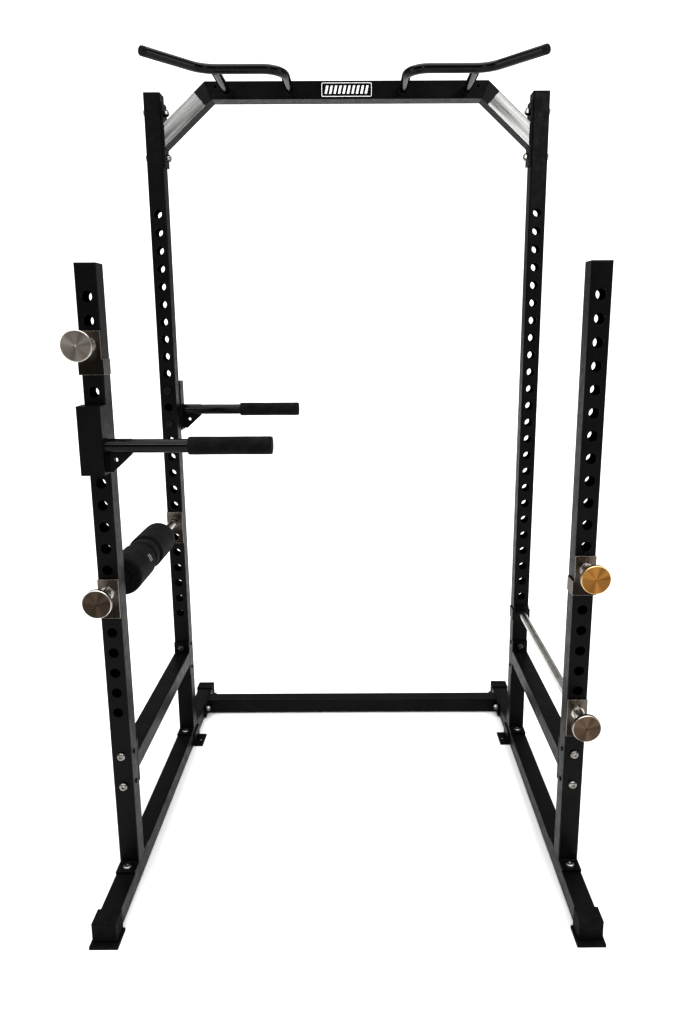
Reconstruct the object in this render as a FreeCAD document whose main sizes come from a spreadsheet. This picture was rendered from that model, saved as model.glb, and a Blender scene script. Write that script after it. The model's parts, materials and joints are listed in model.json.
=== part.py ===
import FreeCAD, Part
import math
import os

import Sketcher

# Half-open power cage, in millimetres.
#
# Frame: +Z is up and the floor is Z = 0.  -Y is the front, where the lifter walks in,
# and +X is to the right of a person who looks at the cage from the front.  The origin is
# on the floor, in the middle of the base's length and of its width.
#
# Two long base rails carry two short front uprights and two tall rear uprights.  Side
# braces, a rear floor tube and a raised pull-up beam tie them together.  Disc-ended
# hooks, two long bars and two dip handles plug into the uprights' rows of holes.

DOC = FreeCAD.newDocument("PowerCage")
SHEET = DOC.addObject("Spreadsheet::Sheet", "Sizes")

SIZES = {
    # square tube
    "tube_side": 50,
    "tube_wall": 3,
    "tube_corner": 4,
    # base
    "overall_length": 1200,
    "upright_spacing": 1160,
    "front_overhang": 235,
    "bay_depth": 640,
    "crossmember_offset": 206,
    "rail_height": 6,
    "rail_end_inset": 16,
    # rubber end feet
    "foot_wall": 4,
    "foot_length": 45,
    "foot_lip": 12,
    "foot_flange_side": 5,
    "foot_flange_thick": 8,
    # uprights and their rows of holes
    "front_height": 1590,
    "rear_height": 2130,
    "hole_bore": 25,
    "hole_pitch": 54,
    "front_hole_top": 1520,
    "front_hole_count": 20,
    "rear_hole_top": 1790,
    "rear_hole_count": 25,
    "top_cap_thick": 4,
    "top_cap_plug": 15,
    # welded bolting flanges
    "flange_length": 120,
    "flange_thick": 6,
    "flange_bolt_pitch": 86,
    "brace_height": 329,
    # pull-up beam
    "beam_corner": 411,
    "beam_slope": 42,
    "beam_rise": 8,
    "beam_plate_length": 180,
    "beam_plate_drop": 112,
    "beam_bolt_pitch": 128,
    "beam_vent_bore": 7,
    "beam_vent_inset": 21,
    "beam_vent_rise": 10,
    "label_width": 155,
    "label_height": 45,
    "label_thick": 2,
    "label_corner": 5,
    # pull-up handles
    "handle_bore": 20,
    "handle_dia": 25,
    "handle_root": 169,
    "handle_reach": 180,
    "handle_outer_bend": 390,
    "handle_tip_out": 119,
    "handle_tip_forward": 130,
    "handle_root_bend": 60,
    "handle_elbow_bend": 90,
    "handle_post": 357,
    "handle_cap_length": 12,
    "handle_cap_round": 5,
    # floor tabs beside the rear uprights
    "tab_length": 70,
    "tab_reach": 30,
    "tab_thick": 5,
    "tab_rise": 45,
    "tab_bore": 11,
    # fasteners
    "bolt_dia": 12,
    "bolt_bore": 12.5,
    "bolt_head_dia": 22,
    "bolt_head_height": 7,
    "bolt_head_round": 5,
    "bolt_socket": 8,
    "bolt_socket_depth": 3,
    "bolt_spare": 3,
    "nut_width": 18,
    "nut_height": 10,
    "rivet_dia": 12,
    "rivet_height": 3,
    "rivet_round": 2,
    # disc-ended hooks and bars
    "peg_dia": 24.9,
    "peg_overrun": 5,
    "peg_chamfer": 2,
    "peg_reach": 75,
    "peg_ring_dia": 33,
    "peg_ring_length": 6,
    "peg_neck_dia": 29,
    "peg_neck_length": 14,
    "disc_dia": 70,
    "disc_thick": 10,
    "disc_bevel": 2,
    "disc_dimple": 3,
    "hook_plate_top": 32,
    "hook_plate_bottom": 68,
    "hook_plate_thick": 5,
    "hook_ear_height": 36,
    "hook_ear_depth": 40,
    "hook_ear_thick": 4,
    "hook_ear_gap": 0.3,
    "saddle_collar_dia": 34,
    "saddle_collar_length": 10,
    "saddle_neck_dia": 30,
    "saddle_neck_length": 22,
    "saddle_plate_bottom": 74,
    "clip_top": 22,
    "clip_bottom": 28,
    # foam roller on the left bar
    "roller_gap": 50,
    "roller_length": 350,
    "roller_dia": 100,
    "roller_groove_dia": 84,
    "roller_groove_start": 135,
    "roller_groove_end": 205,
    "roller_core_dia": 40,
    # dip handles
    "bracket_width": 55,
    "bracket_depth": 46,
    "bracket_height": 160,
    "dip_drop": 14,
    "dip_sleeve_dia": 34,
    "dip_sleeve_length": 60,
    "dip_shaft_dia": 32,
    "dip_shaft_length": 378,
    "dip_grip_dia": 42,
    "dip_grip_length": 195,
    "dip_grip_round": 8,
    "gusset_width": 62,
    "gusset_height": 44,
    "gusset_toe": 14,
    "gusset_bore_out": 22,
    "gusset_bore_drop": 15,
    "gusset_thick": 6,
    "gusset_bore": 10,
}

# Hole numbers, counted from the top hole of a front upright.  A rear upright's holes lie
# on the same levels and start five holes higher.
LEFT_HOOK_HOLE = 2
RIGHT_HOOK_HOLE = 12
DIP_HOLES = (5, 7)
DIP_LEVEL = 6
ROLLER_HOLE = 13
SAFETY_HOLE = 19

SIDES = {"left": -1, "right": 1}

# Places that several sub-parts share, as spreadsheet expressions.
HALF_TUBE = "Sizes.tube_side / 2"
FRONT_Y = "(Sizes.front_overhang - Sizes.overall_length / 2)"
REAR_Y = f"({FRONT_Y} + Sizes.bay_depth)"
CROSSMEMBER_Y = f"({REAR_Y} + Sizes.crossmember_offset)"
FRONT_FACE_Y = f"({FRONT_Y} - {HALF_TUBE})"
REAR_FACE_Y = f"({REAR_Y} - {HALF_TUBE})"
RAIL_MID = f"(Sizes.rail_height + {HALF_TUBE})"
RAIL_TOP = "(Sizes.rail_height + Sizes.tube_side)"
UPRIGHT_BASE = f"({RAIL_TOP} + Sizes.flange_thick)"
BEAM_Z = "(Sizes.rear_height + Sizes.beam_rise)"
BEAM_PLATE_Z = "(Sizes.rear_height - Sizes.beam_plate_drop)"
PLATE_INNER_X = f"(Sizes.upright_spacing / 2 - {HALF_TUBE} - Sizes.flange_thick)"
HANDLE_Y = f"({REAR_FACE_Y} - Sizes.handle_reach)"
BORE_RADIUS = "Sizes.hole_bore / 2"
BOLT_RADIUS = "Sizes.bolt_bore / 2"
PEG_RADIUS = "Sizes.peg_dia / 2"

# Rotations that turn a +Z part towards another axis.
TOWARDS = {
    "+X": FreeCAD.Rotation(FreeCAD.Vector(0, 1, 0), 90),
    "-X": FreeCAD.Rotation(FreeCAD.Vector(0, 1, 0), -90),
    "+Y": FreeCAD.Rotation(FreeCAD.Vector(1, 0, 0), -90),
    "-Y": FreeCAD.Rotation(FreeCAD.Vector(1, 0, 0), 90),
    "+Z": FreeCAD.Rotation(),
}

nodes = {}


# ---------------------------------------------------------------- shared helpers

def fill_sheet():
    for row, (alias, number) in enumerate(SIZES.items(), start=1):
        SHEET.set(f"A{row}", alias.replace("_", " "))
        SHEET.set(f"B{row}", str(number))
        SHEET.setAlias(f"B{row}", alias)
    DOC.recompute()


def value(expression):
    """The number that an expression has now."""
    return float(SHEET.evalExpression(expression))


def hole_level(index):
    """Height of a hole, numbered from the top hole of a front upright."""
    return f"(Sizes.front_hole_top - {index} * Sizes.hole_pitch)"


def side_x(sign):
    return f"({sign} * Sizes.upright_spacing / 2)"


def keep(node, item):
    """Register a finished sub-part under its node name."""
    item.Label = node
    nodes[node] = item
    return item


def place(item, x="0", y="0", z="0", towards="+Z"):
    item.Placement = FreeCAD.Placement(FreeCAD.Vector(), TOWARDS[towards])
    for axis, expression in zip("xyz", (x, y, z)):
        item.setExpression(f"Placement.Base.{axis}", expression)
    return item


def box(name, size, low):
    """A box from its three sizes and its lowest corner."""
    item = DOC.addObject("Part::Box", name)
    for side, expression in zip(("Length", "Width", "Height"), size):
        item.setExpression(side, expression)
    return place(item, *low)


def cylinder(name, radius, length, start, towards):
    item = DOC.addObject("Part::Cylinder", name)
    item.setExpression("Radius", radius)
    item.setExpression("Height", length)
    return place(item, *start, towards=towards)


def cut(name, base, tool):
    item = DOC.addObject("Part::Cut", name)
    item.Base = base
    item.Tool = tool
    return item


def fuse(name, shapes):
    item = DOC.addObject("Part::MultiFuse", name)
    item.Shapes = shapes
    return item


def group(name, copies):
    """Identical or paired solids that share one node."""
    item = DOC.addObject("Part::Compound", name)
    item.Links = copies
    return keep(name, item)


def copy_of(master, x, y, z, towards="+Z"):
    """A linked copy of a master part, set at a place and turned along an axis."""
    link = DOC.addObject("App::Link", f"{master.Name}_copy")
    link.LinkedObject = master
    link.Placement = FreeCAD.Placement(FreeCAD.Vector(), TOWARDS[towards])
    for axis, expression in zip("xyz", (x, y, z)):
        link.setExpression(f"Placement.Base.{axis}", expression)
    return link


def new_body(name):
    return DOC.addObject("PartDesign::Body", name)


def bind(sketch, kind, geometry, point, expression):
    """Add a dimension to a sketch and tie it to an expression."""
    number = value(expression)
    if point is None:
        constraint = Sketcher.Constraint(kind, geometry, number)
    else:
        constraint = Sketcher.Constraint(kind, geometry, point, number)
    index = sketch.addConstraint(constraint)
    sketch.setExpression(f"Constraints[{index}]", expression)


def add_polygon(sketch, corners):
    """A closed outline, its corners given as pairs of expressions."""
    points = [FreeCAD.Vector(value(x), value(y), 0) for x, y in corners]
    count = len(points)
    first = sketch.GeometryCount
    for index, point in enumerate(points):
        sketch.addGeometry(Part.LineSegment(point, points[(index + 1) % count]), False)
    for index in range(count):
        following = first + (index + 1) % count
        sketch.addConstraint(Sketcher.Constraint("Coincident", first + index, 2, following, 1))
    for index, (x, y) in enumerate(corners):
        bind(sketch, "DistanceX", first + index, 1, x)
        bind(sketch, "DistanceY", first + index, 1, y)


def add_circle(sketch, x, y, radius):
    centre = FreeCAD.Vector(value(x), value(y), 0)
    circle = Part.Circle(centre, FreeCAD.Vector(0, 0, 1), value(radius))
    index = sketch.addGeometry(circle, False)
    bind(sketch, "Radius", index, None, radius)
    bind(sketch, "DistanceX", index, 3, x)
    bind(sketch, "DistanceY", index, 3, y)


def add_sketch(body, plane, polygons=(), circles=(), offset=None):
    """A sketch on one of the body's own origin planes, or `offset` along its normal."""
    sketch = body.newObject("Sketcher::SketchObject", f"{body.Name}_sketch")
    origin_plane = next(item for item in body.Origin.OriginFeatures if item.Role == plane)
    sketch.AttachmentSupport = [(origin_plane, "")]
    sketch.MapMode = "FlatFace"
    if offset is not None:
        sketch.setExpression("AttachmentOffset.Base.z", offset)
    for corners in polygons:
        add_polygon(sketch, corners)
    for x, y, radius in circles:
        add_circle(sketch, x, y, radius)
    return sketch


def rectangle(half_width, half_height, x="0", y="0"):
    """Corners of a rectangle about a centre."""
    left, right = f"{x} - {half_width}", f"{x} + {half_width}"
    bottom, top = f"{y} - {half_height}", f"{y} + {half_height}"
    return [(left, bottom), (right, bottom), (right, top), (left, top)]


def pad(body, sketch, length, midplane=False, backwards=False):
    feature = body.newObject("PartDesign::Pad", f"{body.Name}_pad")
    feature.Profile = sketch
    feature.setExpression("Length", length)
    feature.Midplane = midplane
    feature.Reversed = backwards
    return feature


def pocket(body, sketch, length=None, midplane=True, backwards=False):
    """Cut a sketch's outline: all the way through, or to a length."""
    feature = body.newObject("PartDesign::Pocket", f"{body.Name}_pocket")
    feature.Profile = sketch
    feature.Midplane = midplane
    feature.Reversed = backwards
    if length is None:
        feature.Type = "ThroughAll"
    else:
        feature.setExpression("Length", length)
    return feature


def revolve(body, corners):
    """Turn a half outline, as (radius, height) corners, about the body's Y axis."""
    sketch = add_sketch(body, "XY_Plane", polygons=[corners])
    feature = body.newObject("PartDesign::Revolution", f"{body.Name}_turning")
    feature.Profile = sketch
    feature.ReferenceAxis = (sketch, ["V_Axis"])
    feature.Angle = 360
    return feature


def round_edges(body, feature, radius, chosen):
    """Fillet the feature's edges for which chosen(edge) is true."""
    DOC.recompute()
    edges = enumerate(feature.Shape.Edges, start=1)
    names = [f"Edge{number}" for number, edge in edges if chosen(edge)]
    fillet = body.newObject("PartDesign::Fillet", f"{body.Name}_fillet")
    fillet.Base = (feature, names)
    fillet.setExpression("Radius", radius)
    return fillet


def rim_at(axis, level):
    """A test that picks out circular edges centred at a level along an axis."""
    def chosen(edge):
        if not isinstance(edge.Curve, Part.Circle):
            return False
        return abs(getattr(edge.Curve.Center, axis) - level) < 1e-3
    return chosen


def runs_along(edge, axis):
    if not isinstance(edge.Curve, Part.Line):
        return False
    return abs(edge.Curve.Direction.dot(axis)) > 0.999


NORMALS = {
    "XY_Plane": FreeCAD.Vector(0, 0, 1),
    "XZ_Plane": FreeCAD.Vector(0, 1, 0),
    "YZ_Plane": FreeCAD.Vector(1, 0, 0),
}


def square_tube(name, plane, length, midplane=True):
    """A body that starts as a round-cornered square bar along the plane's normal."""
    body = new_body(name)
    outline = add_sketch(body, plane, polygons=[rectangle(HALF_TUBE, HALF_TUBE)])
    solid = pad(body, outline, length, midplane=midplane)
    round_edges(body, solid, "Sizes.tube_corner", lambda edge: runs_along(edge, NORMALS[plane]))
    return body


def hollow(body, plane):
    """Cut the tube's square inside from end to end."""
    inner = f"({HALF_TUBE} - Sizes.tube_wall)"
    pocket(body, add_sketch(body, plane, polygons=[rectangle(inner, inner)]))


def drill(body, plane, spots, radius=BOLT_RADIUS):
    """Round holes right through the body, along the plane's normal."""
    pocket(body, add_sketch(body, plane, circles=[(x, y, radius) for x, y in spots]))


def bolt_spots(centre):
    """The two bolt places of a flange, either side of a centre expression."""
    return [f"{centre} {way} Sizes.flange_bolt_pitch / 2" for way in "-+"]


# ---------------------------------------------------------------- base

def base_rail(side, sign):
    """Long floor tube: open-ended, with foot bolt holes on top and crossmember bolt holes."""
    body = square_tube(f"{side}_base_rail", "XZ_Plane",
                       "Sizes.overall_length - 2 * Sizes.rail_end_inset")
    hollow(body, "XZ_Plane")
    foot_bolts = bolt_spots(FRONT_Y) + bolt_spots(REAR_Y)
    top_holes = add_sketch(body, "XY_Plane", circles=[("0", y, BOLT_RADIUS) for y in foot_bolts])
    pocket(body, top_holes, length="Sizes.tube_side", midplane=False, backwards=True)
    drill(body, "YZ_Plane", [(y, "0") for y in bolt_spots(CROSSMEMBER_Y)])
    place(body, side_x(sign), "0", RAIL_MID)
    keep(body.Name, body)


def end_foot(node, sign, end):
    """Rubber cap over a rail's end, with a wider sole that the cage stands on."""
    block_half = f"({HALF_TUBE} + Sizes.foot_wall)"
    sole_half = f"({block_half} + Sizes.foot_flange_side)"
    sole_length = "(Sizes.foot_length + Sizes.foot_lip)"
    tip = "(Sizes.overall_length / 2)"
    x = side_x(sign)
    block_start = f"{tip} - Sizes.foot_lip"
    if end < 0:
        block_low = f"-({block_start})"
        sole_low = f"-{tip}"
        cavity_low = f"-({tip} - Sizes.rail_end_inset)"
    else:
        block_low = f"{block_start} - Sizes.foot_length"
        sole_low = f"{tip} - {sole_length}"
        cavity_low = f"{tip} - {sole_length} - Sizes.rail_end_inset"
    block = box(f"{node}_block", (f"2 * {block_half}", "Sizes.foot_length", f"{RAIL_TOP} + Sizes.foot_wall"),
                (f"{x} - {block_half}", block_low, "0"))
    sole = box(f"{node}_sole", (f"2 * {sole_half}", sole_length, "Sizes.foot_flange_thick"),
               (f"{x} - {sole_half}", sole_low, "0"))
    cavity = box(f"{node}_cavity", ("Sizes.tube_side", sole_length, "Sizes.tube_side"),
                 (f"{x} - {HALF_TUBE}", cavity_low, "Sizes.rail_height"))
    keep(node, cut(node, fuse(f"{node}_outside", [block, sole]), cavity))


def rear_floor_crossmember():
    flanged_tube("rear_floor_crossmember", "YZ_Plane", "Sizes.upright_spacing - Sizes.tube_side",
                 ("Sizes.flange_length", "Sizes.tube_side"),
                 [(y, "0") for y in bolt_spots("0")])
    place(nodes["rear_floor_crossmember"], "0", CROSSMEMBER_Y, RAIL_MID)


def flanged_tube(node, plane, length, flange, spots):
    """A tube with a bolting flange welded across each end."""
    body = square_tube(node, plane, f"{length} - 2 * Sizes.flange_thick")
    plate = rectangle(f"{flange[0]} / 2", f"{flange[1]} / 2")
    inset = f"({length}) / 2 - Sizes.flange_thick"
    for offset, backwards in ((inset, False), (f"-({inset})", True)):
        pad(body, add_sketch(body, plane, polygons=[plate], offset=offset),
            "Sizes.flange_thick", backwards=backwards)
    hollow(body, plane)
    drill(body, plane, spots)
    return keep(node, body)


def side_brace(side, sign):
    node = f"{side}_side_brace"
    flanged_tube(node, "XZ_Plane", "Sizes.bay_depth - Sizes.tube_side",
                 ("Sizes.tube_side", "Sizes.flange_length"),
                 [("0", z) for z in bolt_spots("0")])
    place(nodes[node], side_x(sign), f"({FRONT_Y} + {REAR_Y}) / 2", "Sizes.brace_height")


def floor_tab(side, sign):
    """Angle tab on a rail's inner face, with a hole for a floor anchor."""
    body = new_body(f"{side}_floor_tab")
    angle = [
        ("0", "0"),
        (f"{-sign} * Sizes.tab_reach", "0"),
        (f"{-sign} * Sizes.tab_reach", "Sizes.tab_thick"),
        (f"{-sign} * Sizes.tab_thick", "Sizes.tab_thick"),
        (f"{-sign} * Sizes.tab_thick", "Sizes.tab_rise"),
        ("0", "Sizes.tab_rise"),
    ]
    pad(body, add_sketch(body, "XZ_Plane", polygons=[angle]), "Sizes.tab_length", midplane=True)
    spot = f"{-sign} * (Sizes.tab_reach + Sizes.tab_thick) / 2"
    drill(body, "XY_Plane", [(spot, "0")], radius="Sizes.tab_bore / 2")
    place(body, f"{side_x(sign)} - {sign} * {HALF_TUBE}", REAR_Y, "0")
    keep(body.Name, body)


# ---------------------------------------------------------------- uprights

def foot_plates():
    """Bolting plates, one welded across the bottom of each upright."""
    master = new_body("foot_plate_master")
    outline = add_sketch(master, "XY_Plane", polygons=[rectangle(HALF_TUBE, "Sizes.flange_length / 2")])
    pad(master, outline, "Sizes.flange_thick")
    drill(master, "XY_Plane", [("0", spot) for spot in bolt_spots("0")])
    copies = [copy_of(master, side_x(sign), y, RAIL_TOP)
              for sign in SIDES.values()
              for y in (FRONT_Y, REAR_Y)]
    group("foot_plates", copies)


def upright(node, sign, y, height, hole_top, hole_count, beam_bolts):
    """Upright tube that stands on its foot plate, with a row of holes from front to back."""
    body = square_tube(node, "XY_Plane", f"{height} - {UPRIGHT_BASE}", midplane=False)
    hollow(body, "XY_Plane")
    first_hole = add_sketch(body, "XZ_Plane", circles=[("0", f"{hole_top} - {UPRIGHT_BASE}", BORE_RADIUS)])
    hole = pocket(body, first_hole)
    row = body.newObject("PartDesign::LinearPattern", f"{node}_hole_row")
    row.Originals = [hole]
    row.Direction = (first_hole, ["V_Axis"])
    row.Reversed = True
    row.setExpression("Length", f"({hole_count} - 1) * Sizes.hole_pitch")
    row.setExpression("Occurrences", hole_count)
    body.Tip = row
    drill(body, "XZ_Plane", [("0", f"{z} - {UPRIGHT_BASE}") for z in bolt_spots("Sizes.brace_height")])
    if beam_bolts:
        drill(body, "YZ_Plane", [("0", f"{z} - {UPRIGHT_BASE}") for z in beam_bolt_levels()])
    place(body, side_x(sign), y, UPRIGHT_BASE)
    keep(node, body)


def beam_bolt_levels():
    return [f"{BEAM_PLATE_Z} {way} Sizes.beam_bolt_pitch / 2" for way in "-+"]


def top_caps():
    """Plastic plugs that close the tops of the four uprights."""
    inner = f"({HALF_TUBE} - Sizes.tube_wall)"
    master = square_tube("cap_master", "XY_Plane", "Sizes.top_cap_thick", midplane=False)
    plug = add_sketch(master, "XY_Plane", polygons=[rectangle(inner, inner)])
    pad(master, plug, "Sizes.top_cap_plug", backwards=True)
    copies = [copy_of(master, side_x(sign), y, z)
              for sign in SIDES.values()
              for y, z in ((FRONT_Y, "Sizes.front_height"), (REAR_Y, "Sizes.rear_height"))]
    group("upright_top_caps", copies)


# ---------------------------------------------------------------- pull-up beam

SLOPE = "(Sizes.beam_slope * 1 deg)"
MITRE = f"({HALF_TUBE} * tan({SLOPE} / 2))"


def beam_middle():
    """Straight middle run of the raised beam, mitred at both ends."""
    body = new_body("pull_up_beam")
    top, bottom = f"(Sizes.beam_corner + {MITRE})", f"(Sizes.beam_corner - {MITRE})"
    outline = [
        (f"-{bottom}", f"-{HALF_TUBE}"),
        (bottom, f"-{HALF_TUBE}"),
        (top, HALF_TUBE),
        (f"-{top}", HALF_TUBE),
    ]
    pad(body, add_sketch(body, "XZ_Plane", polygons=[outline]), "Sizes.tube_side", midplane=True)
    inner = f"({HALF_TUBE} - Sizes.tube_wall)"
    inside = add_sketch(body, "XZ_Plane", polygons=[rectangle(f"(2 * {top})", inner)])
    pocket(body, inside, length=f"2 * {inner}")
    vents = [(f"{sign} * (Sizes.beam_corner - Sizes.beam_vent_inset)", "Sizes.beam_vent_rise")
             for sign in SIDES.values()]
    drill(body, "XZ_Plane", vents, radius="Sizes.beam_vent_bore / 2")
    place(body, "0", REAR_Y, BEAM_Z)
    keep(body.Name, body)


def beam_diagonal(side, sign):
    """Sloping tube run, from the mitre down to the end plate."""
    body = new_body(f"{side}_beam_diagonal")
    run = f"({PLATE_INNER_X} - Sizes.beam_corner)"
    drop = f"({run} * tan({SLOPE}))"
    half_cut = f"({HALF_TUBE} / cos({SLOPE}))"
    outline = [
        (f"{sign} * {MITRE}", HALF_TUBE),
        (f"{sign} * {run}", f"-{drop} + {half_cut}"),
        (f"{sign} * {run}", f"-{drop} - {half_cut}"),
        (f"-{sign} * {MITRE}", f"-{HALF_TUBE}"),
    ]
    pad(body, add_sketch(body, "XZ_Plane", polygons=[outline]), "Sizes.tube_side", midplane=True)
    inner = f"({HALF_TUBE} - Sizes.tube_wall)"
    step_x, step_z = f"({inner} * sin({SLOPE}))", f"({inner} * cos({SLOPE}))"
    past = "Sizes.tube_side"
    past_rise = f"({past} * tan({SLOPE}))"
    far, far_drop = f"({run} + {past})", f"({drop} + {past_rise})"
    inside = [
        (f"{sign} * (-{past} + {step_x})", f"{past_rise} + {step_z}"),
        (f"{sign} * ({far} + {step_x})", f"-{far_drop} + {step_z}"),
        (f"{sign} * ({far} - {step_x})", f"-{far_drop} - {step_z}"),
        (f"{sign} * (-{past} - {step_x})", f"{past_rise} - {step_z}"),
    ]
    pocket(body, add_sketch(body, "XZ_Plane", polygons=[inside]),
           length="Sizes.tube_side - 2 * Sizes.tube_wall")
    place(body, f"{sign} * Sizes.beam_corner", REAR_Y, BEAM_Z)
    keep(body.Name, body)


def beam_end_plate(side, sign):
    body = new_body(f"{side}_beam_end_plate")
    outline = rectangle(HALF_TUBE, "Sizes.beam_plate_length / 2")
    pad(body, add_sketch(body, "YZ_Plane", polygons=[outline]), "Sizes.flange_thick", midplane=True)
    drill(body, "YZ_Plane", [("0", f"{way} Sizes.beam_bolt_pitch / 2") for way in "-+"])
    place(body, f"{sign} * ({PLATE_INNER_X} + Sizes.flange_thick / 2)", REAR_Y, BEAM_PLATE_Z)
    keep(body.Name, body)


def label_plate():
    body = new_body("label_plate")
    outline = rectangle("Sizes.label_width / 2", "Sizes.label_height / 2")
    solid = pad(body, add_sketch(body, "XZ_Plane", polygons=[outline]), "Sizes.label_thick")
    round_edges(body, solid, "Sizes.label_corner", lambda edge: runs_along(edge, NORMALS["XZ_Plane"]))
    place(body, "0", REAR_FACE_Y, BEAM_Z)
    keep(body.Name, body)


# ---------------------------------------------------------------- pull-up handles

def handle_points(sign):
    """Corners of a handle's centre line, from the beam's face to the free tip."""
    face, bar, level = value(REAR_FACE_Y), value(HANDLE_Y), value(BEAM_Z)
    root = value("Sizes.handle_root")
    elbow = value("Sizes.handle_outer_bend")
    tip_x = elbow + value("Sizes.handle_tip_out")
    tip_y = bar - value("Sizes.handle_tip_forward")
    corners = ((root, face), (root, bar), (elbow, bar), (tip_x, tip_y))
    return [FreeCAD.Vector(sign * x, y, level) for x, y in corners]


def rounded_wire(points, radii):
    """Straight runs joined by tangent arcs of the given radii."""
    edges = []
    start = points[0]
    for before, corner, after, radius in zip(points, points[1:], points[2:], radii):
        inward = (before - corner).normalize()
        outward = (after - corner).normalize()
        half_angle = inward.getAngle(outward) / 2
        setback = radius / math.tan(half_angle)
        first = corner + inward * setback
        last = corner + outward * setback
        bisector = (inward + outward).normalize()
        middle = corner + bisector * (radius / math.sin(half_angle) - radius)
        edges.append(Part.LineSegment(start, first).toShape())
        edges.append(Part.Arc(first, middle, last).toShape())
        start = last
    edges.append(Part.LineSegment(start, points[-1]).toShape())
    return Part.Wire(edges)


def swept_rod(name, spine, radius, start):
    """A round section of a bound radius, swept along the handle's centre line."""
    section = DOC.addObject("Part::Circle", f"{name}_section")
    section.setExpression("Radius", radius)
    section.Placement = FreeCAD.Placement(start, TOWARDS["-Y"])
    rod = DOC.addObject("Part::Sweep", name)
    rod.Sections = [section]
    rod.Spine = (spine, [f"Edge{number + 1}" for number in range(len(spine.Shape.Edges))])
    rod.Solid = True
    return rod


def pull_up_handle(side, sign):
    """Bent grip tube with a post that ties its long run to the beam."""
    node = f"{side}_pull_up_handle"
    points = handle_points(sign)
    spine = DOC.addObject("Part::Feature", f"{node}_line")
    bends = (value("Sizes.handle_root_bend"), value("Sizes.handle_elbow_bend"))
    spine.Shape = rounded_wire(points, bends)
    outside = swept_rod(f"{node}_outside", spine, "Sizes.handle_dia / 2", points[0])
    inside = swept_rod(f"{node}_inside", spine, "Sizes.handle_bore / 2", points[0])
    keep(node, cut(node, outside, inside))
    post = cylinder(f"{side}_handle_post_bar", "Sizes.handle_dia / 2", "Sizes.handle_reach",
                    (f"{sign} * Sizes.handle_post", REAR_FACE_Y, BEAM_Z), "-Y")
    keep(f"{side}_handle_post", cut(f"{side}_handle_post", post, outside))


def handle_end_caps():
    """Domed plugs that close the handles' free tips."""
    caps = []
    for side, sign in SIDES.items():
        points = handle_points(sign)
        along = (points[-1] - points[-2]).normalize()
        stub = DOC.addObject("Part::Cylinder", f"{side}_cap_stub")
        stub.setExpression("Radius", "Sizes.handle_dia / 2")
        stub.setExpression("Height", "Sizes.handle_cap_length")
        stub.Placement = FreeCAD.Placement(points[-1], FreeCAD.Rotation(FreeCAD.Vector(0, 0, 1), along))
        DOC.recompute()
        tip = points[-1] + along * value("Sizes.handle_cap_length")
        radius = value("Sizes.handle_cap_round")
        dome = DOC.addObject("Part::Fillet", f"{side}_cap_dome")
        dome.Base = stub
        dome.Edges = [(number, radius, radius) for number, edge in enumerate(stub.Shape.Edges, start=1)
                      if isinstance(edge.Curve, Part.Circle) and (edge.Curve.Center - tip).Length < 1]
        caps.append(dome)
    group("handle_end_caps", caps)


# ---------------------------------------------------------------- fasteners

def bolt_master(name, length):
    """Button-head bolt: the head's underside is at the origin and the shank runs along -Z."""
    body = new_body(name)
    head = pad(body, add_sketch(body, "XY_Plane", circles=[("0", "0", "Sizes.bolt_head_dia / 2")]),
               "Sizes.bolt_head_height")
    top = value("Sizes.bolt_head_height")
    round_edges(body, head, "Sizes.bolt_head_round", rim_at("z", top))
    shank = add_sketch(body, "XY_Plane", circles=[("0", "0", "Sizes.bolt_dia / 2")])
    pad(body, shank, length, backwards=True)
    socket = add_sketch(body, "XY_Plane", polygons=[hexagon("Sizes.bolt_socket")],
                        offset="Sizes.bolt_head_height")
    pocket(body, socket, length="Sizes.bolt_socket_depth", midplane=False)
    return body


def hexagon(width):
    """Corners of a regular hexagon from its width across flats."""
    corner = f"({width} / sqrt(3))"
    return [(f"{corner} * cos({60 * step} deg)", f"{corner} * sin({60 * step} deg)") for step in range(6)]


def nut_master():
    body = new_body("nut_master")
    outline = add_sketch(body, "XY_Plane", polygons=[hexagon("Sizes.nut_width")],
                         circles=[("0", "0", BOLT_RADIUS)])
    pad(body, outline, "Sizes.nut_height")
    return body


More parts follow.
